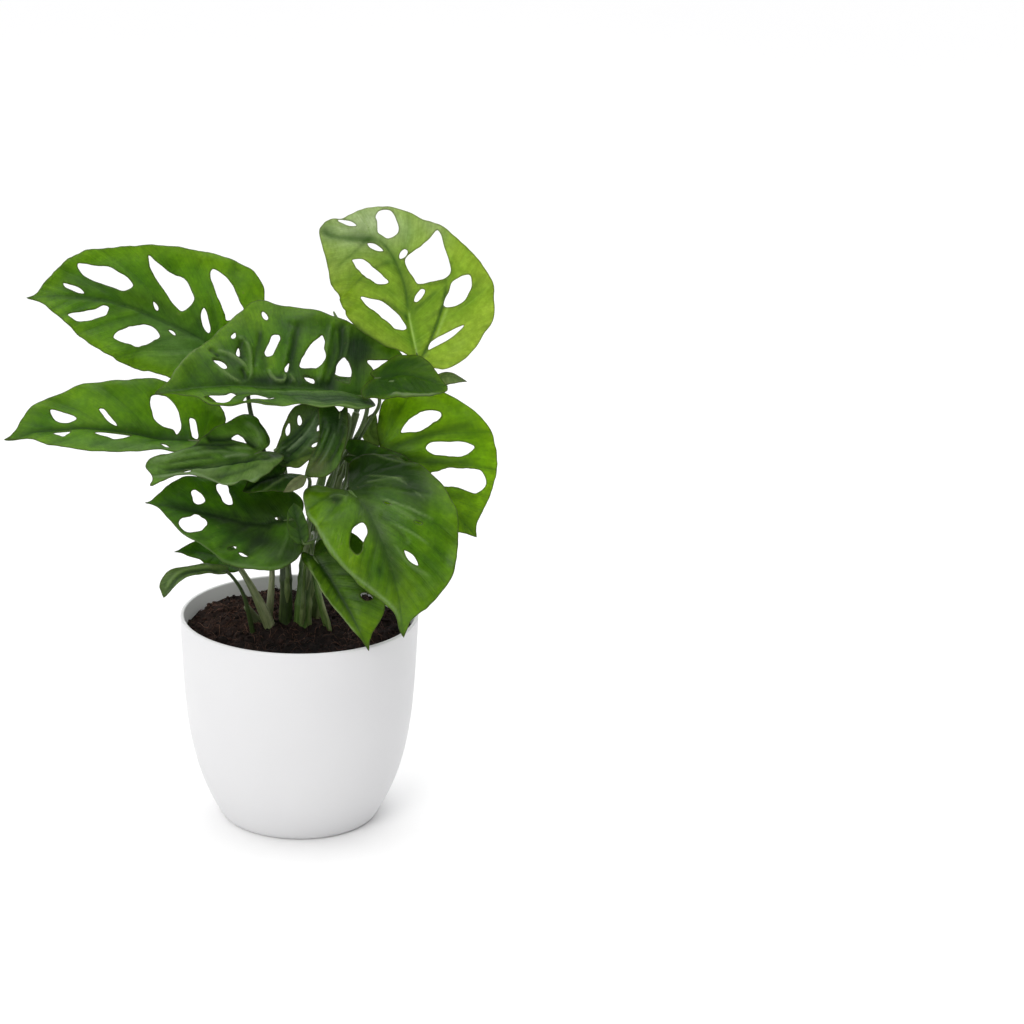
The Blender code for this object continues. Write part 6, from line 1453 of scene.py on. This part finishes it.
for name, (leaf, stem, z, angle, via) in PETIOLES.items():
    path, (r0, r1) = petiole_path(name)
    blade = Blade(LEAVES[leaf])
    big = float(np.clip(blade.length / 100, .3, 1))
    # runs on under the first millimetres of the midrib
    ends = [tuple(blade.at(s, 0.0) - blade.nrm[0] * d) for s, d in ((.0, 1.0 * big + .2), (4.0 * big, .75 * big), (8.0 * big, .35 * big))]
    path = list(path[:-1]) + ends
    if stem:
        d = np.array([cos(radians(angle)), sin(radians(angle)), 0])
        low = []
        for h, out in ((z - 16, -.6), (z - 9, -.1), (z - 2, .25)):
            c, r = stem_at(stem, h)
            low.append(tuple(c + d * (r + out)))
        path = low + path
    else:
        x, y, zz = path[0]
        path = [(x + (path[0][0] - path[1][0]) * .25, y + (path[0][1] - path[1][1]) * .25, zz - 6)] + path
    sheath = 26 if stem else 40

    def radius(u, g, r0=r0, r1=r1, stem=stem, sheath=sheath, big=big):
        r = r0 * (1 - u) + r1 * u
        wide = step01(sheath, sheath * .2, g)
        if stem:
            r *= 1 + .35 * wide * step01(0, 9, g) - .5 * step01(7, 0, g)
        else:
            r *= 1 + .3 * wide
        tip = step01(.955, 1.0, u)
        return r * (1 - .72 * tip) * (1 + .12 * np.exp(-((u - .93) / .03) ** 2))
    wav = Waves(len(name) * 11 + 3, 7, 2)

    def section(u, g, a, wav=wav, sheath=sheath):
        # channelled on the upper side near the foot, round above
        ch = step01(sheath * 1.3, 2, g)
        return 1 - .16 * ch * np.exp(-((np.angle(np.exp(1j * (a - pi / 2)))) / .5) ** 2) + .02 * float(wav(g * .4, a * 2))
    v, f, al, ar, tot = stalk(path, radius, 14, 1.5, section)
    foot = np.clip(1 - al / (30 if stem else 45), 0, 1)
    pale = foot * (.55 if stem else .85)
    if name == 'petiole_left':
        pale = np.clip(.9 - al / 90, 0, 1)
    # petiole_lower_left_back: one side paler, painted light on its lit side, fading upwards
    if name == 'petiole_lower_left_back':
        pale = np.clip(.1 + 1.0 * np.exp(-(np.angle(np.exp(1j * (ar - .1))) / 1.1) ** 2) - al / 140, 0, 1)
    if name == 'petiole_bottom_left':
        pale = .05 + 0 * al
    # petiole_front_right: one side paler, painted light on its lit side, fading upwards
    if name == 'petiole_front_right':
        pale = np.clip(.25 + .9 * np.exp(-(np.angle(np.exp(1j * (ar + .5))) / .7) ** 2) - al / 110, 0, 1)
    piece('fine_' + name, v, f, STALK_MATS.get(name, stalk_mat), {'along': al, 'around': ar, 'pale': pale}, replaces=name, slot='stalk')

# ---- the rolled new leaf and the old stub
line = even(smooth_line(NEW_LEAF, 24), 1.0)
v, f, al, ar, tot = stalk(NEW_LEAF, lambda u, g: float(np.interp(u, np.linspace(0, 1, len(NEW_LEAF_RADII)), NEW_LEAF_RADII)), 22, 1.0,
                          lambda u, g, a: 1 + .22 * np.exp(-(np.angle(np.exp(1j * (a - 5.5 * u))) / .22) ** 2) - .16 * np.exp(-(np.angle(np.exp(1j * (a - 5.5 * u - .42))) / .2) ** 2))
roll_mat = stalk_material('rolled_leaf', (.13, .2, .07), (.07, .12, .035), (.3, .36, .2), .4)
piece('fine_leaf_new_roll', v, f, roll_mat, {'along': al, 'around': ar, 'pale': np.clip(al / tot, 0, 1) * .6}, replaces='leaf_new_roll', slot='leaf_pale')
stub = [(-17, -5, 114), (-22, -4, 118.5), (-27, -4, 124), (-31, -5, 130)]
v, f, al, ar, tot = stalk(stub, lambda u, g: 3.4 - 1.5 * u, 18, .8, lambda u, g, a: 1 + .08 * cos(3 * a) + .1 * step01(.85, 1, u) * cos(7 * a + 1))
piece('fine_stub_old_petiole', v, f, stalk_material('old_stub', (.06, .1, .03), (.025, .045, .012), (.16, .17, .08), .6),
      {'along': al, 'around': ar, 'pale': np.clip(al / tot, 0, 1)}, replaces='stub_old_petiole', slot='leaf_old')

# ---------------------------------------------------------------- studio
mesh = bpy.data.meshes.new('floor')
mesh.from_pydata([(-14, -14, 0), (14, -14, 0), (14, 14, 0), (-14, 14, 0)], [], [(0, 1, 2, 3)])
floor = bpy.data.objects.new('floor', mesh)
bpy.context.scene.collection.objects.link(floor)
m = Mat('floor_white')
cloud = m.noise(m.place(), .7, 2.0, .5)
mesh.materials.append(m.finish(m.solid(m.mix(cloud, (.93, .93, .935), (.95, .95, .95)), .8, Specular_IOR_Level=.1)))

world = bpy.data.worlds.new('studio')
bpy.context.scene.world = world
world.use_nodes = True
nt = world.node_tree
nt.nodes.clear()
tc = nt.nodes.new('ShaderNodeTexCoord')
sep = nt.nodes.new('ShaderNodeSeparateXYZ')
nt.links.new(tc.outputs['Generated'], sep.inputs[0])


def wmath(op, *xs):
    n = nt.nodes.new('ShaderNodeMath')
    n.operation = op
    for i, x in enumerate(xs):
        if isinstance(x, bpy.types.NodeSocket):
            nt.links.new(x, n.inputs[i])
        else:
            n.inputs[i].default_value = x
    return n.outputs[0]


# a bright ceiling and back wall, a dimmer room on the right and in front
level = wmath('ADD', WORLD_BASE, wmath('MULTIPLY', WORLD_TOP, wmath('MAXIMUM', sep.outputs[2], 0.0)))
level = wmath('ADD', level, wmath('MULTIPLY', WORLD_LEFT, wmath('MULTIPLY', sep.outputs[0], -1.0)))
level = wmath('ADD', level, wmath('MULTIPLY', WORLD_BACK, sep.outputs[1]))
level = wmath('MAXIMUM', level, .05)
bg = nt.nodes.new('ShaderNodeBackground')
nt.links.new(level, bg.inputs['Strength'])
bg.inputs['Color'].default_value = (1, 1, 1, 1)
wo = nt.nodes.new('ShaderNodeOutputWorld')
nt.links.new(bg.outputs[0], wo.inputs['Surface'])


def soft_light(name, place, aim, size, power, colour=(1, 1, 1)):
    light = bpy.data.lights.new(name, 'AREA')
    light.shape = 'DISK'
    light.size = size
    light.energy = power
    light.color = colour
    obj = bpy.data.objects.new(name, light)
    obj.location = place
    obj.rotation_euler = (Vector(aim) - Vector(place)).to_track_quat('-Z', 'Y').to_euler()
    bpy.context.scene.collection.objects.link(obj)
    return obj


soft_light('key', (-.95, -1.9, 1.5), (0, 0, .2), 1.3, KEY_POWER, (1, .99, .97))
soft_light('top', (.2, .2, 1.7), (0, 0, .2), 1.0, TOP_POWER)

cam = bpy.data.cameras.new('camera')
cam.lens = 85
cam.sensor_width = 36
cam.shift_x = .2077
cam.clip_end = 60
cam_obj = bpy.data.objects.new('camera', cam)
cam_obj.location = (0, -1.339, .609)
cam_obj.rotation_euler = (radians(72.5), 0, 0)
bpy.context.scene.collection.objects.link(cam_obj)
bpy.context.scene.camera = cam_obj
bpy.context.scene.view_settings.view_transform = 'Standard'
